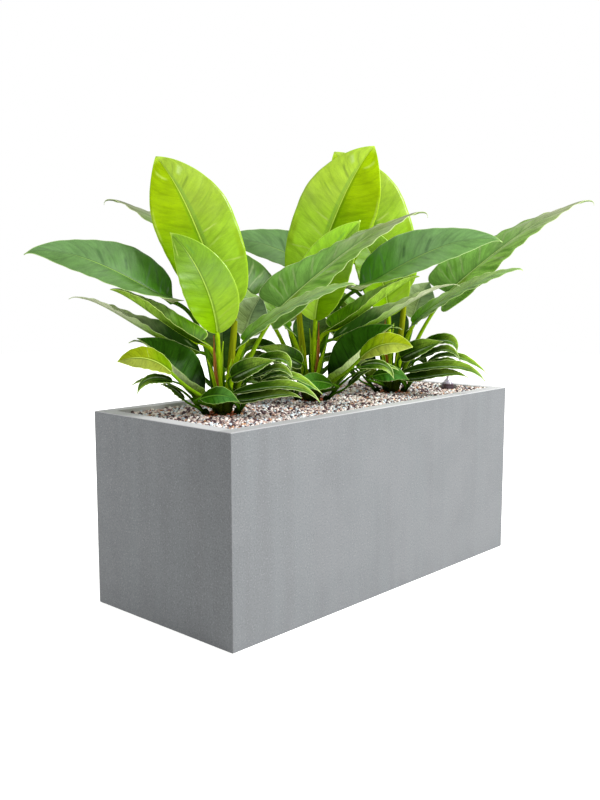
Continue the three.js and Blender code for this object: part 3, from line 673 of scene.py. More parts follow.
def add_blade(heap, leaf, rows, columns, random, stalk=0.0, shade=0.0):
    """Adds a quilted blade with its marks. Rows are closer at the heel, and columns at the midrib. The
    sheet sinks at each side vein, most about mid-way between midrib and margin. The groove over the
    midrib and the ridge under it are bell curves that get smaller toward the tip."""
    u = np.linspace(0, 1, rows)[:, None] ** 1.3 * np.ones((1, columns))
    s = np.linspace(-1, 1, columns)[None] * np.ones((rows, 1))
    v = np.sign(s) * np.abs(s) ** 1.2
    point, normal, width = blade_sheet(leaf, u, v)
    phase = vein_phase(leaf, u, v, random)
    reach, left = np.abs(v), 1 - u
    strength = np.interp(phase, VEIN_NUMBERS, random.uniform(0.35, 1.0, len(VEIN_NUMBERS)))
    sunk = np.abs(np.cos(np.pi * phase)) ** 5 * strength * reach * (1 - reach**3)
    quilt = -leaf["quilt"] * QUILT_DEPTH * sunk * np.sin(np.pi * np.clip(u, 0, 1)) ** 0.5
    frill = leaf["frill"] * np.sin(2 * np.pi * phase) * reach**5 * np.sin(np.pi * u)
    far = reach * width
    groove = -GROOVE_DEPTH * np.exp(-((far / RIB_HALF) ** 2)) * left
    ridge = (RIDGE_DEPTH * left + 0.5) * np.exp(-((far / (2.6 * left + 0.8)) ** 2))
    half = THICKNESS * (1 - 0.4 * reach) / 2
    sheet = point + normal * (quilt + frill)[..., None]
    top = sheet + normal * (half + groove)[..., None]
    under = sheet - normal * (half + ridge)[..., None]
    points = np.concatenate([top.reshape(-1, 3), under.reshape(-1, 3)])
    edge = width * (1 - reach)
    rib = far / (RIB_HALF * left + 0.9)
    place = np.stack([phase, v * leaf["hand"], u], -1).reshape(-1, 3)
    trim = np.stack([edge, rib, np.zeros_like(u)], -1).reshape(-1, 3)
    below = trim + np.array([0, 0, 1.0])
    marks = {"leaf_place": np.concatenate([place, place]), "leaf_trim": np.concatenate([trim, below])}
    marks["stalk_place"] = np.tile([stalk, shade, stalk], (len(points), 1))
    heap.add(points, grid_faces(rows, columns), **marks)


print("A blade of 81 by 37 points has", 2 * 80 * 36 + 2 * (80 + 36), "faces.")

# %% [markdown]
# ## Stalks
#
# A leaf stalk is nearly round, with a shallow channel along its upper side, thick where it sheathes
# the crown and a little swollen again under the blade. Curve objects with a bevel could draw it, but
# they can't make the channel. Here a ring of points is carried along the curve.

# %% Tubes along a curve
CHANNEL_DEPTH = 0.2


def bezier(control, t):
    """The cubic with four control points: weights (1-t)^3, 3t(1-t)^2, 3t^2(1-t) and t^3."""
    s = 1 - t
    weights = np.stack([s**3, 3 * t * s**2, 3 * t**2 * s, t**3], -1)
    slopes = np.stack([-3 * s**2, 3 * s**2 - 6 * t * s, 6 * t * s - 3 * t**2, 3 * t**2], -1)
    return weights @ control, unit(slopes @ control)


def tube(path, along, radii, sides):
    """Rings of points along a path. Each ring is a circle whose top is drawn in by the channel."""
    side = unit(np.cross([0.0, 0.0, 1.0], along) + np.array([1e-6, 0, 0]))
    up = np.cross(along, side)
    angle = np.arange(sides) / sides * 2 * np.pi
    shape = 1 - CHANNEL_DEPTH * np.exp(-(((angle - np.pi / 2) / 0.5) ** 2))
    ring = radii[:, None] * shape
    points = path[:, None] + side[:, None] * (ring * np.cos(angle))[..., None]
    points = points + up[:, None] * (ring * np.sin(angle))[..., None]
    return points.reshape(-1, 3)


def tube_faces(rings, sides):
    """Quads between the rings, and one many-sided face to close each end."""
    index = np.arange(rings * sides).reshape(rings, sides)
    after = np.roll(index, -1, axis=1)
    walls = np.stack([index[:-1], after[:-1], after[1:], index[1:]], -1).reshape(-1, 4)
    return [walls, index[:1, ::-1], index[-1:]]


def stalk_control(root, lean, leaf, gap):
    """Leaves the root along lean and meets the blade's heel in line with the midrib."""
    heel, along = midrib_curve(leaf["midrib"], np.zeros(1))
    end = heel[0] - along[0] * gap
    reach = np.linalg.norm(end - root) * 0.4
    return np.array([root, root + lean * reach, end - along[0] * reach * leaf["neck"], end])


print("A stalk's channel takes", CHANNEL_DEPTH, "of its radius.")

# %% Stalks
FLARE = 0.35
FLARE_LENGTH = 0.08
SWELLING = 0.1
SWELLING_AT = 0.95
RIB_RINGS = 5
RIB_FROM, RIB_TO, RIB_GONE = 0.02, 0.16, 0.19


def add_stalk(heap, control, leaf, thick, rings, sides, tone):
    """A tube along the stalk's curve that runs on under the blade and thins into the midrib's ridge.
    Its foot flares, and it swells a little at SWELLING_AT."""
    t = np.linspace(0, 1, rings)
    path, along = bezier(control, t)
    swelling = FLARE * np.exp(-t / FLARE_LENGTH) + SWELLING * np.exp(-(((t - SWELLING_AT) / 0.05) ** 2))
    radii = (thick[0] + (thick[1] - thick[0]) * t) * (1 + swelling)
    u = np.linspace(RIB_FROM, RIB_TO, RIB_RINGS)
    rib, rib_along = midrib_curve(leaf["midrib"], u)
    down = np.cross(rib_along, np.cross(rib_along, leaf["face"][0]))
    thin = thick[1] * (1 - u / RIB_GONE) * 0.9
    path = np.concatenate([path, rib + unit(down) * (thin + 0.6)[:, None]])
    along = np.concatenate([along, rib_along])
    radii = np.concatenate([radii, thin])
    count = len(path)
    places = np.concatenate([t, np.ones(RIB_RINGS)])
    marks = np.stack([np.ones(count), np.full(count, tone), places], -1)
    points = tube(path, along, radii, sides)
    heap.add(points, tube_faces(count, sides), stalk_place=np.repeat(marks, sides, axis=0))


print("A stalk runs on for", RIB_TO, "of the blade's length.")

# %% [markdown]
# ## The finish of a leaf
#
# A leaf reads the marks of its mesh: how far along the blade and how far across it a point is, how
# near a side vein, how near the midrib, and how many millimetres from the margin. Each blade has two
# tones, at the heel and at the tip, for either half and for the underside. Fibres that run with the
# veins break them up. The painted shade of creases, pale veins and the painted highlights of shiny
# patches that are seen on one blade only are soft strokes in the blade's own coordinates. The gloss
# is a coat, thicker on the halves that face the light, so that deep green stays deep elsewhere.

# %% Soft strokes
STROKE_ACROSS = 0.25


def stroke(finish, skin, along, across, broken, line):
    """Paints a soft line over skin. line: start and end as (along, across), half-width, colour, share.
    broken is a noise that lets the line come and go.

    Across is counted STROKE_ACROSS times as long as along. t is how far the point has come from start
    to end, and off is its distance from the line over the half-width."""
    (u0, v0), (u1, v1), width, code, share = line
    du, dv = u1 - u0, (v1 - v0) * STROKE_ACROSS
    size = du * du + dv * dv
    w0 = v0 * STROKE_ACROSS
    t = along * (du / size) + across * (STROKE_ACROSS * dv / size) - (u0 * du + w0 * dv) / size
    reach = math.sqrt(size) * width
    off = along * (dv / reach) - across * (STROKE_ACROSS * du / reach) - (u0 * dv - w0 * du) / reach
    inside = off.math("ABSOLUTE").step(1.0, 0.15) * t.step(-0.12, 0.2) * t.step(1.15, 0.7)
    return finish.mix(skin, colour(code), inside * broken * share)


def alike(width, code, share, *lines):
    """Strokes of one width, colour and share. Each line is along and across at start, then at end."""
    return [((u0, v0), (u1, v1), width, code, share) for u0, v0, u1, v1 in lines]


print("A stroke counts across a blade", STROKE_ACROSS, "times as long as along it.")

# %% The skins of blade and stalk
STALK_TONES = ("#78820a", "#86aa0c", "#3c6408", "#96622a")


def vein_light(finish, fibre, phase, away, half, fibres, clouds):
    """How light the skin is: lighter on fibres, bands and veins, and darker in a line of painted shade by
    each vein. The bands are partly painted sheen and shade of the quilted sheet.
    """
    bands = finish.noise(finish.vector(phase * 1.3, away * 1.1, half * 5), 1.0, 2.0, 0.5).step(0.3, 0.7)
    nearest = phase - phase.math("ROUND")
    # Painted shade in a line beside each vein, where the sheet dips.
    vein_ditch_shade = (nearest - 0.1).math("ABSOLUTE").step(0.1, 0.02) * away.step(1.0, 0.7) * away.step(0.0, 0.15)
    vein = nearest.math("ABSOLUTE").step(0.06, 0.0) * away.step(1.0, 0.6) * away.step(0.0, 0.1) * bands
    return (fibres + bands * 0.7 + vein * 0.4 - vein_ditch_shade * 0.4 - 0.85) * fibre + clouds * 0.4 + 0.8


def rib_and_margin(finish, skin, tones, along, trim):
    """The midrib is pale between two darker lines of painted shade, and fades out at rib_end. Margin and
    tip are pale.
    """
    edge, rib, under = trim
    # Painted shade: two darker lines along the groove beside the midrib.
    skin = finish.shaded(skin, 1 - rib.step(0.4, 0.9) * rib.step(2.4, 1.0) * 0.3)
    fade = along.step(tones["rib_end"] + 0.1, tones["rib_end"] - 0.15)
    skin = finish.mix(skin, colour(tones["rib"]), rib.step(0.7, 0.3) * fade * 0.75)
    skin = finish.mix(skin, colour(tones["margin"]), edge.step(1.6, 0.5) * 0.75)
    return finish.mix(skin, colour(tones["rib"]), along.step(0.95, 1.0) * (1 - under) * 0.6)


def stalk_skin(finish, place, shade, reach):
    """Olive, bright and deep green, and dry brown as the shade rises. Fine stripes run along the stalk,
    and painted shade darkens its foot, down in the crown."""
    stripes = finish.noise(finish.scaled(place, (420, 420, 25)), 1.0, 3.0)
    olive, bright, deep, dry = (colour(code) for code in STALK_TONES)
    bark = finish.mix(olive, bright, shade.step(0.0, 0.5))
    bark = finish.mix(bark, deep, shade.step(0.5, 1.0))
    bark = finish.mix(bark, dry, shade.step(1.2, 1.5))
    # Painted shade darkens the foot of each stalk where reach is small, down in the crown.
    return finish.shaded(bark, (stripes * 1.2 + 0.4) * (reach.step(0.08, 0.32) * 0.88 + 0.12))


print("Stalks have", len(STALK_TONES), "tones.")

# %% The whole finish of a leaf
COAT_ROUGHNESS = 0.3
TURN_WIDTH = 0.22


def leaf_finish(name, tones):
    """first, second and under: tones at heel and tip. turn: where the heel's tone ends. rib, rib_end,
    margin, gloss for both halves, fibre for their contrast, and strokes."""
    finish = Finish("leaf_" + name, {"Specular IOR Level": 0.0, "Coat Roughness": COAT_ROUGHNESS})
    phase, across, along = finish.mark("leaf_place")
    trim = finish.mark("leaf_trim")
    under = trim[2]
    stalk, shade, reach = finish.mark("stalk_place")
    place = finish.place()
    away = across.math("ABSOLUTE")
    half = across.step(-0.02, 0.02)
    clouds = finish.noise(place, 18.0, 3.0)
    fibre_place = finish.vector((along - away * 0.1) * 38, away * 2.2, half * 7)
    fibres = finish.noise(fibre_place, 1.0, 5.0, 0.7).step(0.3, 0.7)
    turned = (along + (clouds - 0.5) * 0.3).step(tones["turn"] - TURN_WIDTH, tones["turn"] + TURN_WIDTH)
    pairs = [map(colour, tones[key]) for key in ("first", "second", "under")]
    first, second, lower = (finish.mix(*pair, turned) for pair in pairs)
    skin = finish.mix(finish.mix(second, first, half), lower, under)
    light = vein_light(finish, tones["fibre"], phase, away, half, fibres, clouds)
    # Painted shade: the shade mark darkens a blade where it is above 0, and lightens it where it is below.
    skin = finish.shaded(skin, light * (1 - shade * 0.5))
    wobble = along + (fibres - 0.5) * 0.006 + (clouds - 0.5) * 0.03
    for line in tones.get("strokes", ()):
        skin = stroke(finish, skin, wobble, across, fibres * 0.6 + 0.5, line)
    skin = rib_and_margin(finish, skin, tones, along, trim)
    skin = finish.mix(skin, stalk_skin(finish, place, shade, reach), stalk)
    gloss = half * (tones["gloss"][0] - tones["gloss"][1]) + tones["gloss"][1]
    gloss = gloss * (turned * 0.7 + 0.3) * (clouds * 1.4 + 0.3) * (1 - under * 0.8) * (1 - stalk * 0.6)
    fine = finish.noise(finish.vector(phase * 30, away * 30), 1.0, 2.0)
    return finish.feed(
        Base_Color=skin,
        Roughness=clouds * 0.2 + 0.4,
        Coat_Weight=gloss,
        Normal=finish.bump(fibres * 0.7 + fine * 0.3, 0.0006, 0.6),
    )


print("The heel's tone turns into the tip's over", 2 * TURN_WIDTH, "of the blade.")

# %% [markdown]
# ## Tones of the young blades
#
# The two upright blades in the middle of each plant are the youngest, and light falls through them.
# A translucent shader could show this, but it is slow and grainy. Two lime tones for each half show
# the same, and the second half's darker heel is painted shade where it turns away. The pale veins are
# strokes, and so are the dark lines along the midrib, which are painted shade, and a pale fold at the
# margin of the tall blade, which is a painted highlight.

# %% Lime-green tones
LEAF_TONES = {
    "tall": {
        "first": ("#80a81c", "#809c1c"), "second": ("#5c8800", "#789400"),
        "under": ("#8ca546", "#96af5a"), "turn": 0.5, "rib": "#a5c346", "rib_end": 0.85,
        "margin": "#96b828", "gloss": (0.75, 0.1), "fibre": 0.24,
        "strokes": [
            ((0.76, 0.1), (0.82, 0.6), 0.013, "#506808", 0.75),
            ((0.62, 0.25), (0.68, 0.7), 0.007, "#5c800c", 0.6),
            *alike(0.008, "#b0bc68", 0.35, (0.27, 0.3, 0.28, 0.95), (0.47, 0.1, 0.5, 0.5)),
            ((0.37, 0.1), (0.42, 0.5), 0.008, "#a4b85c", 0.3),
            ((0.85, 0.3), (0.89, 0.7), 0.022, "#9cb078", 0.5),
            # Painted shade: a dark line along the midrib.
            ((0.35, 0.08), (0.9, 0.07), 0.016, "#507c20", 0.6),
            ((0.27, 0.9), (0.45, 0.9), 0.03, "#708c00", 0.7),
            # Painted shade: a dark line along the midrib on the other half.
            ((0.05, -0.06), (0.9, -0.05), 0.012, "#507800", 0.7),
            ((0.85, -0.2), (0.92, -0.7), 0.015, "#a0b454", 0.5),
            # Painted highlight: a pale fold at the margin.
            ((0.5, -0.95), (0.7, -0.95), 0.012, "#a8b85c", 0.3),
            ((0.55, -0.2), (0.6, -0.8), 0.012, "#688800", 0.5),
        ],
    },
    "front": {
        "first": ("#90b820", "#709c10"), "second": ("#6c9404", "#60841c"),
        "under": ("#87a046", "#91aa5a"), "turn": 0.4, "rib": "#aac850", "rib_end": 0.8,
        "margin": "#9cbc3c", "gloss": (0.7, 0.3), "fibre": 0.22,
        "strokes": [
            *alike(0.015, "#9cb04c", 0.32, (0.03, 0.05, 0.15, 0.8), (0.13, 0.05, 0.25, 0.9)),
            ((0.2, 0.1), (0.3, 0.9), 0.012, "#588000", 0.5),
            ((0.72, 0.25), (0.84, 0.3), 0.03, "#508428", 0.55),
            ((0.45, -0.3), (0.6, -0.6), 0.012, "#487000", 0.65),
            ((0.78, -0.7), (0.92, -0.7), 0.02, "#9cb054", 0.5),
            ((0.2, -0.1), (0.3, -0.9), 0.014, "#547c00", 0.5),
        ],
    },
}
print("Tones for", list(LEAF_TONES))

# %% [markdown]
# ## Tones of the broad and the long blade
#
# The largest blades are full grown and lean out to the sides. They mirror the bright surround, so
# they turn grey-green toward the tip. The coat alone would mirror the floor too and look wet, so the
# tip's tone carries most of this sheen. Dark creases of painted shade run out from the broad blade's
# midrib, and a grey painted highlight lies on its lobe. Pale veins with painted sheen cross the long
# one, beside a painted shade along its midrib.

# %% Full-grown green tones
LEAF_TONES |= {
    "broad": {
        "first": ("#3c7404", "#50743c"), "second": ("#406418", "#4c7034"),
        "under": ("#d8e0a8", "#7d965f"), "turn": 0.37, "rib": "#80a53c", "rib_end": 0.7,
        "margin": "#a0b878", "gloss": (0.7, 0.6), "fibre": 0.3,
        "strokes": [
            ((0.17, 0.1), (0.2, 0.7), 0.012, "#507050", 0.6),
            ((0.29, 0.1), (0.32, 0.9), 0.012, "#50704c", 0.6),
            # Painted highlight: a grey gloss on the lobe.
            ((0.1, 0.3), (0.1, 0.7), 0.02, "#6c806c", 0.5),
            # Painted shade: two dark creases running out from the midrib.
            *alike(0.014, "#1f4410", 0.8, (0.43, 0.2, 0.47, 0.6), (0.56, 0.05, 0.62, 0.6)),
            ((0.7, 0.1), (0.76, 0.6), 0.01, "#3c602c", 0.5),
            ((0.45, -0.1), (0.52, -0.8), 0.01, "#40602c", 0.5),
            ((0.3, -0.1), (0.36, -0.8), 0.012, "#647c54", 0.4),
        ],
    },
    "long": {
        "first": ("#78a440", "#808a62"), "second": ("#64903c", "#8c9268"),
        "under": ("#7c9448", "#748c54"), "turn": 0.6, "rib": "#afc378", "rib_end": 0.75,
        "margin": "#b8c88c", "gloss": (0.45, 0.5), "fibre": 0.4,
        "strokes": [
            ((0.1, 0.15), (0.22, 0.2), 0.04, "#606800", 0.65),
            ((0.3, 0.3), (0.35, 1), 0.02, "#3c7000", 0.75),
            ((0.42, 0.3), (0.45, 0.9), 0.014, "#3c7000", 0.7),
            ((0.37, 0.3), (0.4, 0.9), 0.012, "#90a070", 0.5),
            ((0.3, 0.15), (0.6, 0.13), 0.02, "#98a084", 0.6),
            # Pale veins with painted sheen on them.
            *alike(0.006, "#98a474", 0.4, (0.11, -0.1, 0.15, -0.9), (0.15, -0.1, 0.2, -0.9)),
            *alike(0.008, "#98a474", 0.37, (0.22, -0.1, 0.27, -0.9), (0.32, -0.1, 0.38, -0.9)),
            *alike(0.008, "#98a474", 0.31, (0.44, -0.1, 0.5, -0.9), (0.56, -0.1, 0.62, -0.9)),
            *alike(0.013, "#407000", 0.65, (0.13, -0.3, 0.17, -0.9), (0.19, -0.3, 0.24, -0.9)),
            # Painted shade along the midrib.
            ((0.28, -0.08), (0.62, -0.08), 0.014, "#507438", 0.5),
            # Painted sheen toward the tip.
            ((0.5, -0.75), (0.9, -0.7), 0.04, "#94a084", 0.5),
        ],
    },
}
print("Tones for", list(LEAF_TONES))

# %% [markdown]
# ## Tones of the narrow blades
#
# Three narrow blades stand out to the sides, folded along the midrib. They are fresh green and show
# their fibres more than the large ones, so their contrast is higher. One tone with a strong light
# could give the pale tips, but then the heels would be too pale as well.

# %% Fresh green tones
LEAF_TONES |= {
    "narrow_right": {
        "first": ("#285800", "#709448"), "second": ("#589408", "#789848"),
        "under": ("#5a7014", "#7d9b5a"), "turn": 0.22, "rib": "#a0b95f", "rib_end": 0.8,
        "margin": "#b0c482", "gloss": (0.45, 0.45), "fibre": 0.45,
        "strokes": [
            ((0.15, 0.15), (0.35, 0.13), 0.014, "#98a088", 0.5),
            *alike(0.01, "#94a878", 0.27, (0.3, 0.2, 0.38, 0.8), (0.45, 0.2, 0.53, 0.8)),
            *alike(0.01, "#94a878", 0.24, (0.6, 0.15, 0.68, 0.8), (0.55, -0.2, 0.62, -0.8)),
            ((0.25, -0.2), (0.33, -0.8), 0.01, "#94a878", 0.27),
            ((0.4, -0.2), (0.48, -0.8), 0.008, "#406814", 0.5),
        ],
    },
    "narrow_left": {
        "first": ("#4c7800", "#98b864"), "second": ("#3c5a00", "#789b28"),
        "under": ("#345404", "#70902c"), "turn": 0.42, "rib": "#96b246", "rib_end": 0.6,
        "margin": "#b0c46e", "gloss": (0.25, 0.1), "fibre": 0.55,
        "strokes": [
            ((0.08, 0.1), (0.16, 0.9), 0.006, "#82a514", 0.5),
            ((0.16, 0.1), (0.26, 0.9), 0.006, "#3a5e00", 0.5),
            ((0.27, 0.1), (0.36, 0.9), 0.006, "#82a514", 0.4),
        ],
    },
    "canoe_left": {
        # The dark heel of the first half is painted shade inside the fold.
        "first": ("#24440c", "#8c9c68"), "second": ("#567a14", "#94a078"),
        "under": ("#68900c", "#98a080"), "turn": 0.42, "rib": "#6e8c3c", "rib_end": 0.8,
        "margin": "#b0c08c", "gloss": (0.35, 0.35), "fibre": 0.4,
        "strokes": [
            ((0.05, 0.4), (0.11, 0.6), 0.02, "#829468", 0.6),
            ((0.5, -0.2), (0.58, -0.8), 0.012, "#a5b28c", 0.3),
        ],
    },
}
print("Tones for", list(LEAF_TONES))

# %% [markdown]
# ## Tones of the blades behind and below
#
# The blades behind the crown are dull, the ones near the granulate lie in shade, and the oldest one
# is turning yellow. The darkest heels of the low blades are partly painted shade. They need fewer
# strokes than the others, because little of them is seen.

# %% Dull and dark tones
LEAF_TONES |= {
    "back_right": {
        "first": ("#748c5c", "#607850"), "second": ("#687c44", "#788c5c"),
        "under": ("#5a6c46", "#647850"), "turn": 0.5, "rib": "#788c5a", "rib_end": 0.8,
        "margin": "#beccac", "gloss": (0.15, 0.15), "fibre": 0.4,
        "strokes": [
            ((0.1, 0.3), (0.25, 0.5), 0.04, "#828e78", 0.5),
        ],
    },
    "back": {
        "first": ("#345414", "#385828"), "second": ("#4c6418", "#546c38"),
        "under": ("#3c5028", "#465a32"), "turn": 0.5, "rib": "#5a7332", "rib_end": 0.8,
        "margin": "#789150", "gloss": (0.2, 0.2), "fibre": 0.4,
    },
    "yellow_left": {
        "first": ("#5c7c04", "#74840c"), "second": ("#748028", "#78842c"),
        "under": ("#8c9e46", "#8e9e50"), "turn": 0.35, "rib": "#a5b955", "rib_end": 0.8,
        "margin": "#b8c86e", "gloss": (0.1, 0.3), "fibre": 0.35,
        "strokes": [
            ((0.47, 0.1), (0.5, 0.8), 0.008, "#909c50", 0.55),
            ((0.1, -0.08), (0.9, -0.08), 0.022, "#446400", 0.7),
            ((0.3, 0.1), (0.34, 0.8), 0.01, "#507000", 0.4),
        ],
    },
    "dark_left": {
        "first": ("#081c00", "#305c10"), "second": ("#506c1e", "#8c9e5f"),
        "under": ("#7ca030", "#b0c08c"), "turn": 0.33, "rib": "#3c5f14", "rib_end": 0.7,
        "margin": "#8ca85a", "gloss": (0.12, 0.12), "fibre": 0.5,
        "strokes": [
            ((0.4, 0.2), (0.48, 0.8), 0.008, "#143000", 0.5),
            ((0.6, 0.2), (0.68, 0.8), 0.008, "#426818", 0.4),
        ],
    },
    "low_front": {
        "first": ("#285008", "#3c6c28"), "second": ("#204000", "#3c6820"),
        "under": ("#506432", "#5a733c"), "turn": 0.5, "rib": "#557d28", "rib_end": 0.7,
        "margin": "#8caa5a", "gloss": (0.2, 0.2), "fibre": 0.4,
    },
}
print("Tones for", list(LEAF_TONES))

# %% [markdown]
# ## Tones of the shoots
#
# The small leaves of the low shoots are dark at the heel, a painted shade deep in the shoot, and green
# at the tip, with a pale streak of painted sheen on one half and the painted shade of a dark fold on
# the other. A finish for each of them would be too much. They share one, and every leaf carries a
# shade of its own as a mark, which paints it darker or lighter. Now that all tones are there, the
# finishes can be made: one for each kind of blade, and one for the shoots.

# %% Tones of small leaves, and all finishes
LEAF_TONES |= {
    "shoot": {
        # The heels' dark tones are painted shade deep in the shoot.
        "first": ("#1e3402", "#4c7018"), "second": ("#284806", "#72902c"),
        "under": ("#486c08", "#305408"), "turn": 0.5, "rib": "#466919", "rib_end": 0.5,
        "margin": "#b8cc82", "gloss": (0.3, 0.2), "fibre": 0.7,
        "strokes": [
            # Painted sheen: a pale streak on one half.
            ((0.1, 0.35), (0.8, 0.3), 0.045, "#94a884", 0.55),
            # Painted shade: a dark fold on the other half.
            ((0.1, -0.4), (0.7, -0.4), 0.03, "#142c04", 0.6),
        ],
    },
}
FINISHES = {name: leaf_finish(name, tones) for name, tones in LEAF_TONES.items()}
print(len(FINISHES), "leaf finishes")

# %% [markdown]
# ## The forms of the young blades
#
# Each plant is the same drawing at another size, and the middle one is mirrored, as three plants of
# one batch often are. A blade could be sculpted by hand, but then it would no longer lie where its
# solid in the model lies, so the numbers are the ones that the solid was made from. midrib: heel, one
# third, two thirds and tip. face: where the upper side looks at heel and tip. half and widest: the
# half-width, and where it is reached. rise, rise_tip and curl: degrees by which the left and the right
# half stand up. lobe, hook, wave and frill: millimetres. root, lean and thick: where the stalk leaves
# the crown, in which direction, and its two radii.

# %% Two upright blades
LARGE_LEAVES = {
    "tall": {
        "slot": "leaf_lime",
        "midrib": [[22, 5, 217], [-26, 0, 320], [-68, 5, 421], [-126, 25, 515]],
        "face": [[0.1, -1, 0.1], [0, -1, 0.2]],
        "half": 83, "widest": 0.53, "base": 0.5, "taper": 0.85,
        "rise": (22, 10), "rise_tip": (15, -4), "curl": (-1, -9),
        "wave": 3, "waves": 3, "lobe": 14, "veins": 10,
        "root": (12, 5), "lean": (0, 0, 1), "thick": (8, 6.8), "tone": 0.0, "neck": 0.3,
    },
    "front": {
        "slot": "leaf_lime",
        "midrib": [[-8, -42, 167], [-21, -56, 236], [-51, -66, 305], [-96, -62, 362]],
        "face": [[0.1, -1, 0.1], [0, -1, 0.1]],
        "half": 57, "widest": 0.35, "base": 0.64, "taper": 1.1,
        "rise": (50, 17), "rise_tip": (14, 9), "curl": (-3, -1),
        "wave": 2, "waves": 2, "lobe": 1, "veins": 9,
        "root": (-3, -13), "lean": (0, -0.1, 1), "thick": (5, 4.4), "tone": 0.5,
    },
}
print("Forms for", list(LARGE_LEAVES))

# %% [markdown]
# ## The forms of the broad and the long blade
#
# The broad blade leans out to the left and the long one to the right. Each half is turned on its own,
# because a flat blade would show the viewer too little of the half that lies behind.

# %% Two large blades
LARGE_LEAVES |= {
    "broad": {
        "slot": "leaf_green",
        "midrib": [[-95, -10, 228], [-158, -40, 264], [-260, -62, 313], [-369, -85, 323]],
        "face": [[0.2, -0.5, 0.86], [0.1, -0.5, 0.86]],
        "half": 77, "widest": 0.37, "base": 0.62, "taper": 1.35,
        "rise": (50, 20), "rise_tip": (-22, 10), "curl": (-5, 2),
        "wave": 3, "waves": 2, "lobe": 11, "veins": 10,
        "root": (-10, 2), "lean": (-0.15, 0, 1), "thick": (6, 4), "tone": 1.0, "hook": 5,
    },
    "long": {
        "slot": "leaf_green",
        "midrib": [[118, 0, 213], [192, -15, 281], [321, -20, 375], [419, -25, 402]],
        "face": [[-0.4, -0.55, 0.73], [-0.2, -0.3, 0.9]],
        "half": 76, "widest": 0.2, "base": 0.45, "taper": 1.4,
        "rise": (30, 17), "rise_tip": (-37, 20), "curl": (-2, -8),
        "wave": 3, "waves": 2, "lobe": 30, "veins": 12,
        "root": (12, 4), "lean": (0.4, 0, 1), "thick": (6, 4), "tone": 0.7, "hook": 9, "frill": 2,
    },
}
print("Forms for", list(LARGE_LEAVES))

# %% [markdown]
# ## The forms of the narrow blades
#
# Two narrow blades lean out in front, one to the right and one to the left, and a third reaches far
# to the left, folded like a boat. The fold is a high rise on both halves. A bend of the whole sheet
# could make it too, but it would move the midrib.

# %% Three narrow blades
LARGE_LEAVES |= {
    "narrow_right": {
        "slot": "leaf_fresh",
        "midrib": [[46, -46, 152], [97, -76, 197], [186, -108, 248], [255, -132, 264]],
        "face": [[-0.3, -0.35, 0.9], [-0.3, -0.1, 0.95]],
        "half": 35, "widest": 0.26, "base": 0.42, "taper": 0.92,
        "rise": (14, 17), "rise_tip": (-4, -7), "curl": (1, -8),
        "wave": 2, "waves": 2, "lobe": 25, "veins": 10,
        "root": (10, -12), "lean": (0.05, -0.2, 1), "thick": (7, 4.1), "tone": 0.45,
        "hook": 3, "frill": 1.6,
    },
    "narrow_left": {
        "slot": "leaf_fresh",
        "midrib": [[-43, -30, 149], [-99, -50, 182], [-158, -70, 226], [-209, -90, 254]],
        "face": [[0.35, -0.4, 0.85], [0.3, -0.2, 0.9]],
        "half": 42, "widest": 0.2, "base": 0.53, "taper": 0.85,
        "rise": (23, 29), "rise_tip": (40, 12), "curl": (4, 1),
        "wave": 2, "waves": 2, "lobe": 24, "veins": 9,
        "root": (-9, -11), "lean": (-0.1, -0.1, 1), "thick": (6.5, 4.5), "tone": 0.55,
    },
    "canoe_left": {
        "slot": "leaf_dark",
        "midrib": [[-44, 19, 125], [-144, 15, 166], [-228, 6, 217], [-300, -9, 238]],
        "face": [[0.3, -0.1, 0.95], [0.3, -0.1, 0.95]],
        "half": 45, "widest": 0.28, "base": 0.62, "taper": 1.3,
        "rise": (30, 53), "rise_tip": (32, -28), "curl": (-11, 4),
        "wave": 2, "waves": 3, "lobe": 1, "veins": 10,
        "root": (-11, 7), "lean": (-0.1, 0.1, 1), "thick": (5, 3.6), "tone": 0.9,
        "hook": 4, "frill": 1.6,
    },
}
print("Forms for", list(LARGE_LEAVES))

# %% [markdown]
# ## The forms of the blades behind and below
#
# Two short blades stand behind the crown. Three old ones hang low in front and on the left, where
# they cover the foot of the plant. What the viewer can't see of them follows the plant's habit.

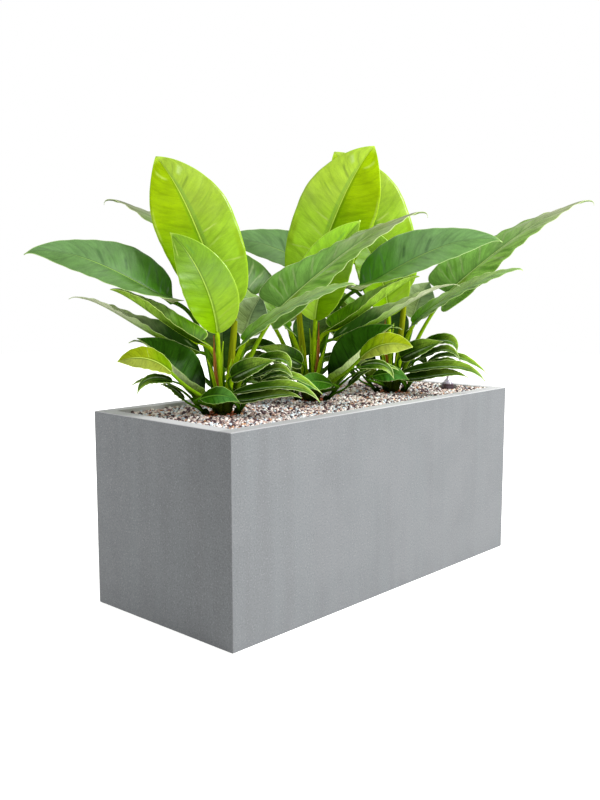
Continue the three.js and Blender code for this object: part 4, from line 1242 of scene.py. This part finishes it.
# %% Five blades behind and below
LARGE_LEAVES |= {
    "back_right": {
        "slot": "leaf_dull",
        "midrib": [[50, 32, 160], [58, 48, 190], [70, 62, 215], [86, 76, 238]],
        "face": [[0.2, -0.7, 0.7], [0.2, -0.6, 0.8]],
        "half": 38, "widest": 0.4, "base": 0.5, "taper": 1.15,
        "rise": (15, 15), "curl": (0, 0),
        "wave": 2, "waves": 2, "lobe": 9, "veins": 6,
        "root": (9, 12), "lean": (0.2, 0.2, 1), "thick": (5, 3.4), "tone": 0.9,
    },
    "back": {
        "slot": "leaf_dark",
        "midrib": [[3, 27, 92], [2, 35, 127], [2, 39, 161], [4, 39, 197]],
        "face": [[0, -0.9, 0.4], [0, -0.9, 0.4]],
        "half": 38, "widest": 0.55, "base": 0.5, "taper": 1.15,
        "rise": (10, 10), "curl": (0, 0),
        "wave": 2, "waves": 2, "lobe": 9, "veins": 7,
        "root": (-2, 14), "lean": (0, 0.3, 1), "thick": (5, 3.4), "tone": 1.0,
    },
    "yellow_left": {
        "slot": "leaf_yellow",
        "midrib": [[-95, -125, 98], [-122, -137, 120], [-155, -148, 129], [-192, -155, 122]],
        "face": [[0.1, -0.6, 0.8], [0, -0.6, 0.8]],
        "half": 34, "widest": 0.48, "base": 0.57, "taper": 1,
        "rise": (23, 3), "rise_tip": (-14, 0), "curl": (1, -2),
        "wave": 1, "waves": 2, "lobe": 3, "veins": 6,
        "root": (-9, -12), "lean": (-0.25, -1, 0.7), "thick": (4.5, 3), "tone": 0.8,
    },
    "dark_left": {
        "slot": "leaf_dark",
        "midrib": [[-38, -38, 34], [-79, -46, 68], [-116, -52, 118], [-164, -52, 159]],
        "face": [[0.5, -0.35, 0.8], [0.4, -0.3, 0.85]],
        "half": 66, "widest": 0.49, "base": 0.47, "taper": 1.3,
        "rise": (63, 34), "rise_tip": (17, 26), "curl": (-5, 5),
        "wave": 2, "waves": 2, "lobe": 3, "veins": 7,
        "root": (-14, -2), "lean": (-0.4, -0.1, 1), "thick": (4.5, 3.2), "tone": 1.0,
    },
    "low_front": {
        "slot": "leaf_green",
        "midrib": [[-42, -94, 44], [-16, -103, 51], [8, -110, 50], [34, -116, 39]],
        "face": [[0, -0.7, 0.7], [0, -0.7, 0.7]],
        "half": 22, "widest": 0.43, "base": 0.62, "taper": 1.36,
        "rise": (-5, 4), "rise_tip": (8, 2), "curl": (-2, -1),
        "wave": 1, "waves": 1, "lobe": 0, "veins": 6,
        "root": (-8, -14), "lean": (-0.6, -0.8, 1), "thick": (4, 2.6), "tone": 1.0,
    },
}

print("Forms for", len(LARGE_LEAVES), "large blades")

# %% [markdown]
# ## Sheaths and dried strips
#
# Where a leaf has come out, its sheath stays at the foot of the stalks: green at first, and later a
# dry brown strip. It could be painted on the stalks, but it stands off them and throws a shadow. So
# each is a narrow blade without veins, with the skin of a stalk. Its shade says how dry it is.

# %% Sheaths of one plant
SHEATHS = [
    {"midrib": [[-7, -24, 50], [-12, -28, 88], [-14, -32, 126], [-15, -38, 163]],
     "face": [[-0.3, -1, 0], [-0.2, -1, 0]], "half": 3.8, "shade": 1.5},
    {"midrib": [[-4, -24, 62], [-1, -29, 94], [1, -32, 122], [4, -34, 151]],
     "face": [[0.2, -1, 0], [0.2, -1, 0]], "half": 3.2, "shade": 0.42},
    {"midrib": [[-8, -22, 38], [-14, -27, 66], [-20, -31, 90], [-29, -34, 116]],
     "face": [[-0.4, -1, 0.2], [-0.4, -1, 0.2]], "half": 4.5, "shade": 0.5},
    {"midrib": [[6, -22, 42], [12, -29, 72], [16, -35, 96], [20, -40, 116]],
     "face": [[0.3, -1, 0.2], [0.3, -1, 0.2]], "half": 5, "shade": 0.55},
]
print(len(SHEATHS), "sheaths on each plant")

# %% [markdown]
# ## Low leafy shoots
#
# A skirt of young side shoots grows at the foot of each plant: one on the left, one on the right and
# one behind. Scattered copies of one small leaf would look like a carpet, so each leaf has a place,
# a width and a painted shade of its own. The rest of its numbers are the common ones.

# %% Low leafy shoots of one plant
SHOOTS = {
    "shoot_left": {
        "foot": (-33, -17),
        "leaves": [
            {"midrib": [[-96, -90, 78], [-122, -98, 83], [-146, -104, 78], [-161, -106, 56]],
             "face": [[0, -0.6, 0.8], [0, -0.8, 0.6]], "half": 10, "shade": 0.3},
            {"midrib": [[-74, -74, 40], [-88, -82, 54], [-102, -88, 65], [-117, -96, 73]],
             "face": [[0.2, -0.6, 0.8], [0.2, -0.4, 0.9]], "half": 9, "shade": 0.6},
            {"midrib": [[-109, -76, 74], [-132, -82, 81], [-153, -86, 80], [-172, -90, 71]],
             "face": [[0, -0.5, 0.86], [0, -0.5, 0.86]], "half": 6, "shade": 0.2},
        ],
    },
    "shoot_right": {
        "foot": (30, -8),
        "leaves": [
            {"midrib": [[19, -44, 80], [43, -57, 94], [72, -66, 106], [105, -72, 116]],
             "face": [[0, -0.85, 0.5], [0, -0.7, 0.7]], "half": 18, "shade": 0.1},
            {"midrib": [[69, -12, 105], [99, -25, 116], [126, -38, 115], [137, -45, 90]],
             "face": [[0, -0.7, 0.7], [0, -0.9, 0.4]], "half": 12, "shade": -0.1},
            {"midrib": [[61, -25, 78], [90, -42, 92], [118, -58, 98], [142, -72, 74]],
             "face": [[0, -0.5, 0.86], [0, -0.6, 0.8]], "half": 11, "shade": 0.6},
            {"midrib": [[77, -20, 67], [114, -45, 85], [155, -72, 78], [196, -92, 50]],
             "face": [[0, -0.4, 0.9], [0, -0.5, 0.86]], "half": 10, "shade": -0.4},
            {"midrib": [[21, -45, 48], [79, -72, 62], [141, -92, 65], [190, -105, 35]],
             "face": [[0, -0.4, 0.9], [0, -0.6, 0.8]], "half": 14, "shade": 0.3},
            {"midrib": [[73, -5, 56], [99, -15, 67], [124, -25, 71], [147, -35, 65]],
             "face": [[0, -0.5, 0.86], [0, -0.5, 0.86]], "half": 10, "shade": 1.0},
            {"midrib": [[19, -60, 38], [64, -82, 43], [111, -98, 52], [154, -108, 44]],
             "face": [[0, -0.6, 0.8], [0, -0.6, 0.8]], "half": 13, "shade": 0.8},
        ],
    },
    "shoot_rear": {
        "foot": (4, 31),
        "leaves": [
            {"midrib": [[-14, 58, 44], [-24, 80, 56], [-36, 100, 56], [-48, 118, 42]],
             "face": [[0, 0.3, 0.95], [0, 0.4, 0.9]], "half": 19, "shade": 0.3},
            {"midrib": [[12, 58, 44], [13, 74, 54], [12, 90, 54], [9, 105, 42]],
             "face": [[0, 0.2, 0.95], [0, 0.4, 0.9]], "half": 19, "shade": 0.5},
            {"midrib": [[40, 54, 50], [55, 66, 62], [70, 77, 64], [84, 86, 50]],
             "face": [[0, 0.3, 0.95], [0, 0.4, 0.9]], "half": 18, "shade": 0.4},
            {"midrib": [[-104, 14, 114], [-134, 4, 134], [-160, -6, 149], [-184, -14, 147]],
             "face": [[0.3, 0, 0.95], [0.3, 0, 0.95]], "half": 9, "shade": 0.2},
        ],
    },
}
print(len(SHOOTS), "shoots with", sum(len(shoot["leaves"]) for shoot in SHOOTS.values()), "leaves")

# %% [markdown]
# ## Putting a plant together
#
# On the real plant all stalks rise from one short crown. Here the crown is turned round its axis, each
# stalk leaves it at its root, and the blades follow. Crown, stalks and sheaths are one piece, and each
# large blade and each shoot is one, as in the model. Parenting and moving objects would place a
# plant too, but pieces have to stay at the origin, so the points themselves are moved.

# %% Turned shapes, and the way to a plant's place
def to_world(points, plant):
    """From a plant's frame to the planter's: a turn about the vertical, then the plant's place."""
    turn = math.radians(plant["turn"])
    cos, sin = math.cos(turn), math.sin(turn)
    x, y, z = points.T
    moved = [x * cos - y * sin + plant["place"][0], x * sin + y * cos + plant["place"][1], z + FILL_LEVEL]
    return np.stack(moved, -1)


def finished(heap, name, plant):
    """The heap's mesh, moved to where its plant stands."""
    heap.points = [to_world(points, plant) for points in heap.points]
    return heap.mesh(name)


def lathe(profile, sides):
    """A profile of radius and height turned about the vertical, from low to high."""
    angle = np.arange(sides) / sides * 2 * np.pi
    radius, height = np.array(profile, float).T
    rings = [radius[:, None] * np.cos(angle), radius[:, None] * np.sin(angle), height[:, None] + 0 * angle]
    return np.stack(rings, -1).reshape(-1, 3), tube_faces(len(profile), sides)


print("The left plant stands at", to_world(np.zeros((1, 3)), PLANTS["left"])[0].tolist())

# %% Crown, stalks and large blades
LONG_BLADE = 210
LONG_GRID = (81, 37)
SHORT_GRID = (53, 29)
SHEATH_GRID = (17, 9)
STALK_ROOT = 7
STALK_GAP = 0.3
STALK_RINGS, STALK_SIDES = 26, 16
CROWN_PROFILE = [(17, -60), (17, 2), (15, 10), (8, 16)]
CROWN_SIDES = 28
SHEATH_FORM = {"veins": 3, "quilt": 0, "wave": 0, "rise": (30, 30), "widest": 0.3}


def add_large_leaves(key, plant, random):
    """One piece for each blade, and one piece for the crown with all its stalks and sheaths."""
    stems = Heap()
    points, faces = lathe(CROWN_PROFILE, CROWN_SIDES)
    # The crown's reach of 0 gives it the dark painted shade of a stalk's foot.
    stems.add(points, faces, stalk_place=np.tile([1.0, 0.8, 0.0], (len(points), 1)))
    for name, leaf in LARGE_LEAVES.items():
        if name in plant["lost"]:
            continue
        big = grown(leaf, plant)
        heap = Heap()
        length = np.linalg.norm(big["midrib"][3] - big["midrib"][0])
        grid = LONG_GRID if length > LONG_BLADE else SHORT_GRID
        add_blade(heap, big, *grid, random, shade=plant["own_shade"].get(name, plant["shade"]))
        piece = finished(heap, f"{key}_{name}_blade", plant)
        dress(piece, FINISHES[name], leaf["slot"], f"{key}_{name}")
        root = np.array([leaf["root"][0] * plant["hand"], leaf["root"][1], STALK_ROOT], float)
        lean = unit(np.array([leaf["lean"][0] * plant["hand"], *leaf["lean"][1:]], float))
        control = stalk_control(root, lean, big, STALK_GAP)
        add_stalk(stems, control, big, leaf["thick"], STALK_RINGS, STALK_SIDES, leaf["tone"])
    for sheath in SHEATHS:
        leaf = grown({**SHEATH_FORM, **sheath}, plant)
        add_blade(stems, leaf, *SHEATH_GRID, random, 1.0, sheath["shade"])
    dress(finished(stems, f"{key}_crown_and_stalks", plant), FINISHES["front"], "stem", f"{key}_stems")


print("A crown is", CROWN_PROFILE[0][0] * 2, "mm thick.")

# %% Shoots, and the three plants
SMALL_SPREAD = 1.25
SMALL_GRID = (37, 15)
SMALL_FORM = {"veins": 7, "quilt": 0.4}
SMALL_THICK = (3.4, 2.0)
SMALL_RINGS, SMALL_SIDES = 16, 10
STUMP_PROFILE = [(7, -30), (7, 6), (5.5, 11), (2, 14)]
STUMP_SIDES = 16
STUMP_LEAN = 0.9
ROOT_OUT, ROOT_UP = 2.5, 3


def add_shoots(key, plant, random):
    """Each low shoot is one piece: a stump, thin stalks and small blades."""
    for name, shoot in SHOOTS.items():
        heap = Heap()
        foot = np.array([shoot["foot"][0] * plant["hand"], shoot["foot"][1], 0.0])
        points, faces = lathe(STUMP_PROFILE, STUMP_SIDES)
        # The stump's reach of 0 gives it the dark painted shade of a stalk's foot.
        heap.add(points + foot, faces, stalk_place=np.tile([1.0, 1.0, 0.0], (len(points), 1)))
        lean = unit(unit(foot) * STUMP_LEAN + [0, 0, 1])
        for small in shoot["leaves"]:
            leaf = grown({**SMALL_FORM, **small}, plant)
            leaf["half"] *= SMALL_SPREAD
            toward = leaf["midrib"][0] * [1, 1, 0] - foot
            root = foot + unit(toward) * ROOT_OUT + [0, 0, ROOT_UP]
            control = stalk_control(root, lean, leaf, 0)
            add_stalk(heap, control, leaf, SMALL_THICK, SMALL_RINGS, SMALL_SIDES, 1.0)
            add_blade(heap, leaf, *SMALL_GRID, random, shade=small["shade"])
        dress(finished(heap, f"{key}_{name}_leaves", plant), FINISHES["shoot"], "shoot", f"{key}_{name}")


for key, plant in PLANTS.items():
    generator = np.random.default_rng(5)
    add_large_leaves(key, plant, generator)
    add_shoots(key, plant, generator)
    print("Built the", key, "plant")

# %% [markdown]
# ## Clay pellets
#
# Each plant grew in expanded clay. The pellets show as reddish-brown beads at the foot of the crown,
# and fill the culture pot below. A particle system could pour them, but it would land them in a
# different place each time. Only the beads on top are modelled one by one; the rest is the body that
# they lie on.

# %% Pellets
POT_TOP = -20
POT_BOTTOM = -165
BALL_BODY = [(61.9, POT_BOTTOM + 2.3), (73.7, POT_TOP), (46, POT_TOP + 0.1)]
BALL_PROFILE = [*BALL_BODY, (46, -10), (40, -7), (17.5, -7)]
PELLETS_SHOWN = 90
PELLET_RING = (19.0, 41.0)
PELLET_LEVEL = (-5.5, -1.0)
PELLET_RADIUS = (3.4, 5.6)
PELLET_DENT = 0.06
GOLDEN_ANGLE = np.pi * (3 - math.sqrt(5))


def subdivided(shape, faces):
    """Each triangle becomes four: new points half-way along its edges, pushed out to the sphere."""
    a, b, c = (shape[faces[:, i]] for i in range(3))
    halves = [unit(a + b), unit(b + c), unit(c + a)]
    points = np.concatenate([a, b, c, *halves])
    count = len(faces)
    i = np.arange(count)
    corner = [i + count * k for k in range(6)]
    quarter = [(0, 3, 5), (3, 1, 4), (5, 4, 2), (3, 4, 5)]
    fine = np.concatenate([np.stack([corner[p], corner[q], corner[r]], -1) for p, q, r in quarter])
    _, first, inverse = np.unique(np.round(points, 6), axis=0, return_index=True, return_inverse=True)
    return points[first], inverse.reshape(-1)[fine]


def clay():
    """Fired clay: reddish brown, dusty, with fine pits."""
    finish = Finish("fired_clay", {"Specular IOR Level": 0.2})
    place = finish.place()
    clouds = finish.noise(place, 90.0, 3.0)
    tone = finish.mix(colour("#7a3f26"), colour("#a8623f"), clouds.step(0.35, 0.65))
    pits = finish.noise(place, 900.0, 3.0)
    return finish.feed(Base_Color=tone, Roughness=clouds * 0.1 + 0.8, Normal=finish.bump(pits, 0.0006))


def add_pellets(key, plant, material, random):
    """Beads on a ring about the crown. Each is one golden angle further round than the last, at a
    random distance and height."""
    heap = Heap()
    points, faces = lathe(BALL_PROFILE, 48)
    heap.add(points, faces)
    angle = np.arange(PELLETS_SHOWN) * GOLDEN_ANGLE
    inner, outer = PELLET_RING
    reach = np.sqrt(random.uniform(inner**2, outer**2, PELLETS_SHOWN))
    height = random.uniform(*PELLET_LEVEL, PELLETS_SHOWN)
    centres = np.stack([reach * np.cos(angle), reach * np.sin(angle), height], -1)
    bead, bead_faces = subdivided(ICOSAHEDRON, ICOSAHEDRON_FACES)
    radii = random.uniform(*PELLET_RADIUS, PELLETS_SHOWN)
    points, faces = stones(random, centres, radii, bead, bead_faces, PELLET_DENT)
    heap.add(points, [faces])
    dress(finished(heap, f"{key}_clay_pellets", plant), material, "pellets", f"{key}_root_ball")


clay_material = clay()
for key, plant in PLANTS.items():
    add_pellets(key, plant, clay_material, np.random.default_rng(3))
print("Laid", PELLETS_SHOWN, "beads round each crown.")

# %% [markdown]
# ## Culture pots
#
# A black slotted pot holds the roots and pellets of each plant, down in the granulate. Its form is
# right in the model, so it only gets the satin grain of moulded plastic. A plain colour would do for
# what is hidden, but the pots can be seen when the part is taken apart.

# %% The pots' finish
def pot_plastic():
    """Black moulded plastic with a fine satin grain."""
    finish = Finish("pot_plastic", {"Specular IOR Level": 0.4})
    grain = finish.noise(finish.place(), 700.0, 2.0)
    tone = finish.mix(colour("#1c1e1f"), colour("#2a2d2e"), grain)
    return finish.feed(Base_Color=tone, Roughness=grain * 0.15 + 0.42, Normal=finish.bump(grain, 0.0002))


pot_material = pot_plastic()
for key in PLANTS:
    repaint(f"{key}_culture_pot", pot_material)
print("Painted", len(PLANTS), "culture pots.")

# %% [markdown]
# ## The water gauge
#
# A gauge for the water level stands near the right-hand rim: a plum-brown tube, a clear cone that
# runs into a slim clear tube, and a pointer with a red tip on its float. A Screw modifier could turn
# their profiles, but the turned shape of the crown is at hand. The tube and the cone are hollow, so
# their profiles close on themselves.

# %% The gauge's tube
GAUGE_TOP = 403.0
GAUGE_BORE = 12.0
FLOOR_LEVEL = 18.3
GAUGE_SIDES = 48


def closed_lathe(profile, sides):
    """A profile that closes on itself, turned about the axis: rings joined last to first."""
    points, _ = lathe(profile, sides)
    index = np.arange(len(profile) * sides).reshape(len(profile), sides)
    after, above = np.roll(index, -1, axis=1), np.roll(index, -1, axis=0)
    return points, [np.stack([index, after, np.roll(after, -1, axis=0), above], -1).reshape(-1, 4)]


def plain_finish(name, tone, dark, roughness, fixed):
    """A moulded plastic: one tone with a faint cloud of another."""
    finish = Finish(name, fixed)
    clouds = finish.noise(finish.place(), 120.0, 2.0)
    base = finish.mix(colour(tone), colour(dark), clouds.step(0.3, 0.7))
    return finish.feed(Base_Color=base, Roughness=clouds * 0.08 + roughness)


def add_gauge_part(name, node, slot, shape, material):
    points, faces = shape
    heap = Heap()
    heap.add(points + [*GAUGE_PLACE, 0.0], faces)
    dress(heap.mesh(name), material, slot, node)


tube_shape = closed_lathe(
    [(GAUGE_BORE, FLOOR_LEVEL), (GAUGE_RADIUS, FLOOR_LEVEL), (GAUGE_RADIUS, GAUGE_TOP - 5),
     (GAUGE_RADIUS - 0.3, GAUGE_TOP - 4), (GAUGE_RADIUS, GAUGE_TOP - 3), (GAUGE_RADIUS, GAUGE_TOP - 0.6),
     (GAUGE_RADIUS - 0.6, GAUGE_TOP), (GAUGE_BORE + 0.6, GAUGE_TOP), (GAUGE_BORE, GAUGE_TOP - 0.6)],
    GAUGE_SIDES,
)
plum = plain_finish("plum_plastic", "#4a343c", "#33222b", 0.32, {"Coat Weight": 0.3})
add_gauge_part("gauge_collar", "gauge_tube", "gauge_tube", tube_shape, plum)
print("The gauge stands at", GAUGE_PLACE)

# %% The gauge's clear cone
CONE_TOP = 417.0
SLIM_TOP = 461.5

cone_shape = closed_lathe(
    [(13, GAUGE_TOP + 0.3), (14, GAUGE_TOP + 0.3), (14, GAUGE_TOP + 1.6), (3.8, CONE_TOP - 0.6),
     (3.4, CONE_TOP + 0.6), (3.3, SLIM_TOP - 1.5), (2.4, SLIM_TOP - 0.2), (0.3, SLIM_TOP),
     (0.3, SLIM_TOP - 1), (2.6, SLIM_TOP - 2), (2.9, CONE_TOP), (13.2, GAUGE_TOP + 1.6)],
    GAUGE_SIDES,
)
clear = {"Alpha": 0.5, "Specular IOR Level": 0.6}
clear_plastic = plain_finish("clear_plastic", "#c4bfcc", "#b2acbd", 0.08, clear)
add_gauge_part("gauge_cone", "gauge_window", "gauge_window", cone_shape, clear_plastic)
print("The cone ends", round(SLIM_TOP - FILL_LEVEL, 1), "mm above the granulate.")

# %% The gauge's float and pointer
FLOAT_RADIUS = 11
FLOAT_HEIGHT = 60
ROD_RADIUS = 1.2
BALL_RADIUS = 2.75

float_top = FLOOR_LEVEL + FLOAT_HEIGHT
float_profile = [(0.4, FLOOR_LEVEL + 0.3), (FLOAT_RADIUS, FLOOR_LEVEL + 0.4)]
float_profile += [(FLOAT_RADIUS, float_top), (ROD_RADIUS, float_top + 0.2)]
pointer_profile = [(ROD_RADIUS, CONE_TOP - 1), (2.3, CONE_TOP), (BALL_RADIUS, CONE_TOP + 2)]
pointer_profile += [(BALL_RADIUS, CONE_TOP + 4), (2.0, CONE_TOP + 5.6), (0.3, CONE_TOP + 6)]
red = plain_finish("red_plastic", "#c23a1a", "#8f2312", 0.35, {"Specular IOR Level": 0.5})
rod_shape = lathe(float_profile + pointer_profile, 32)
add_gauge_part("gauge_pointer", "gauge_float", "gauge_float", rod_shape, red)
print("The pointer's ball is", 2 * BALL_RADIUS, "mm thick.")
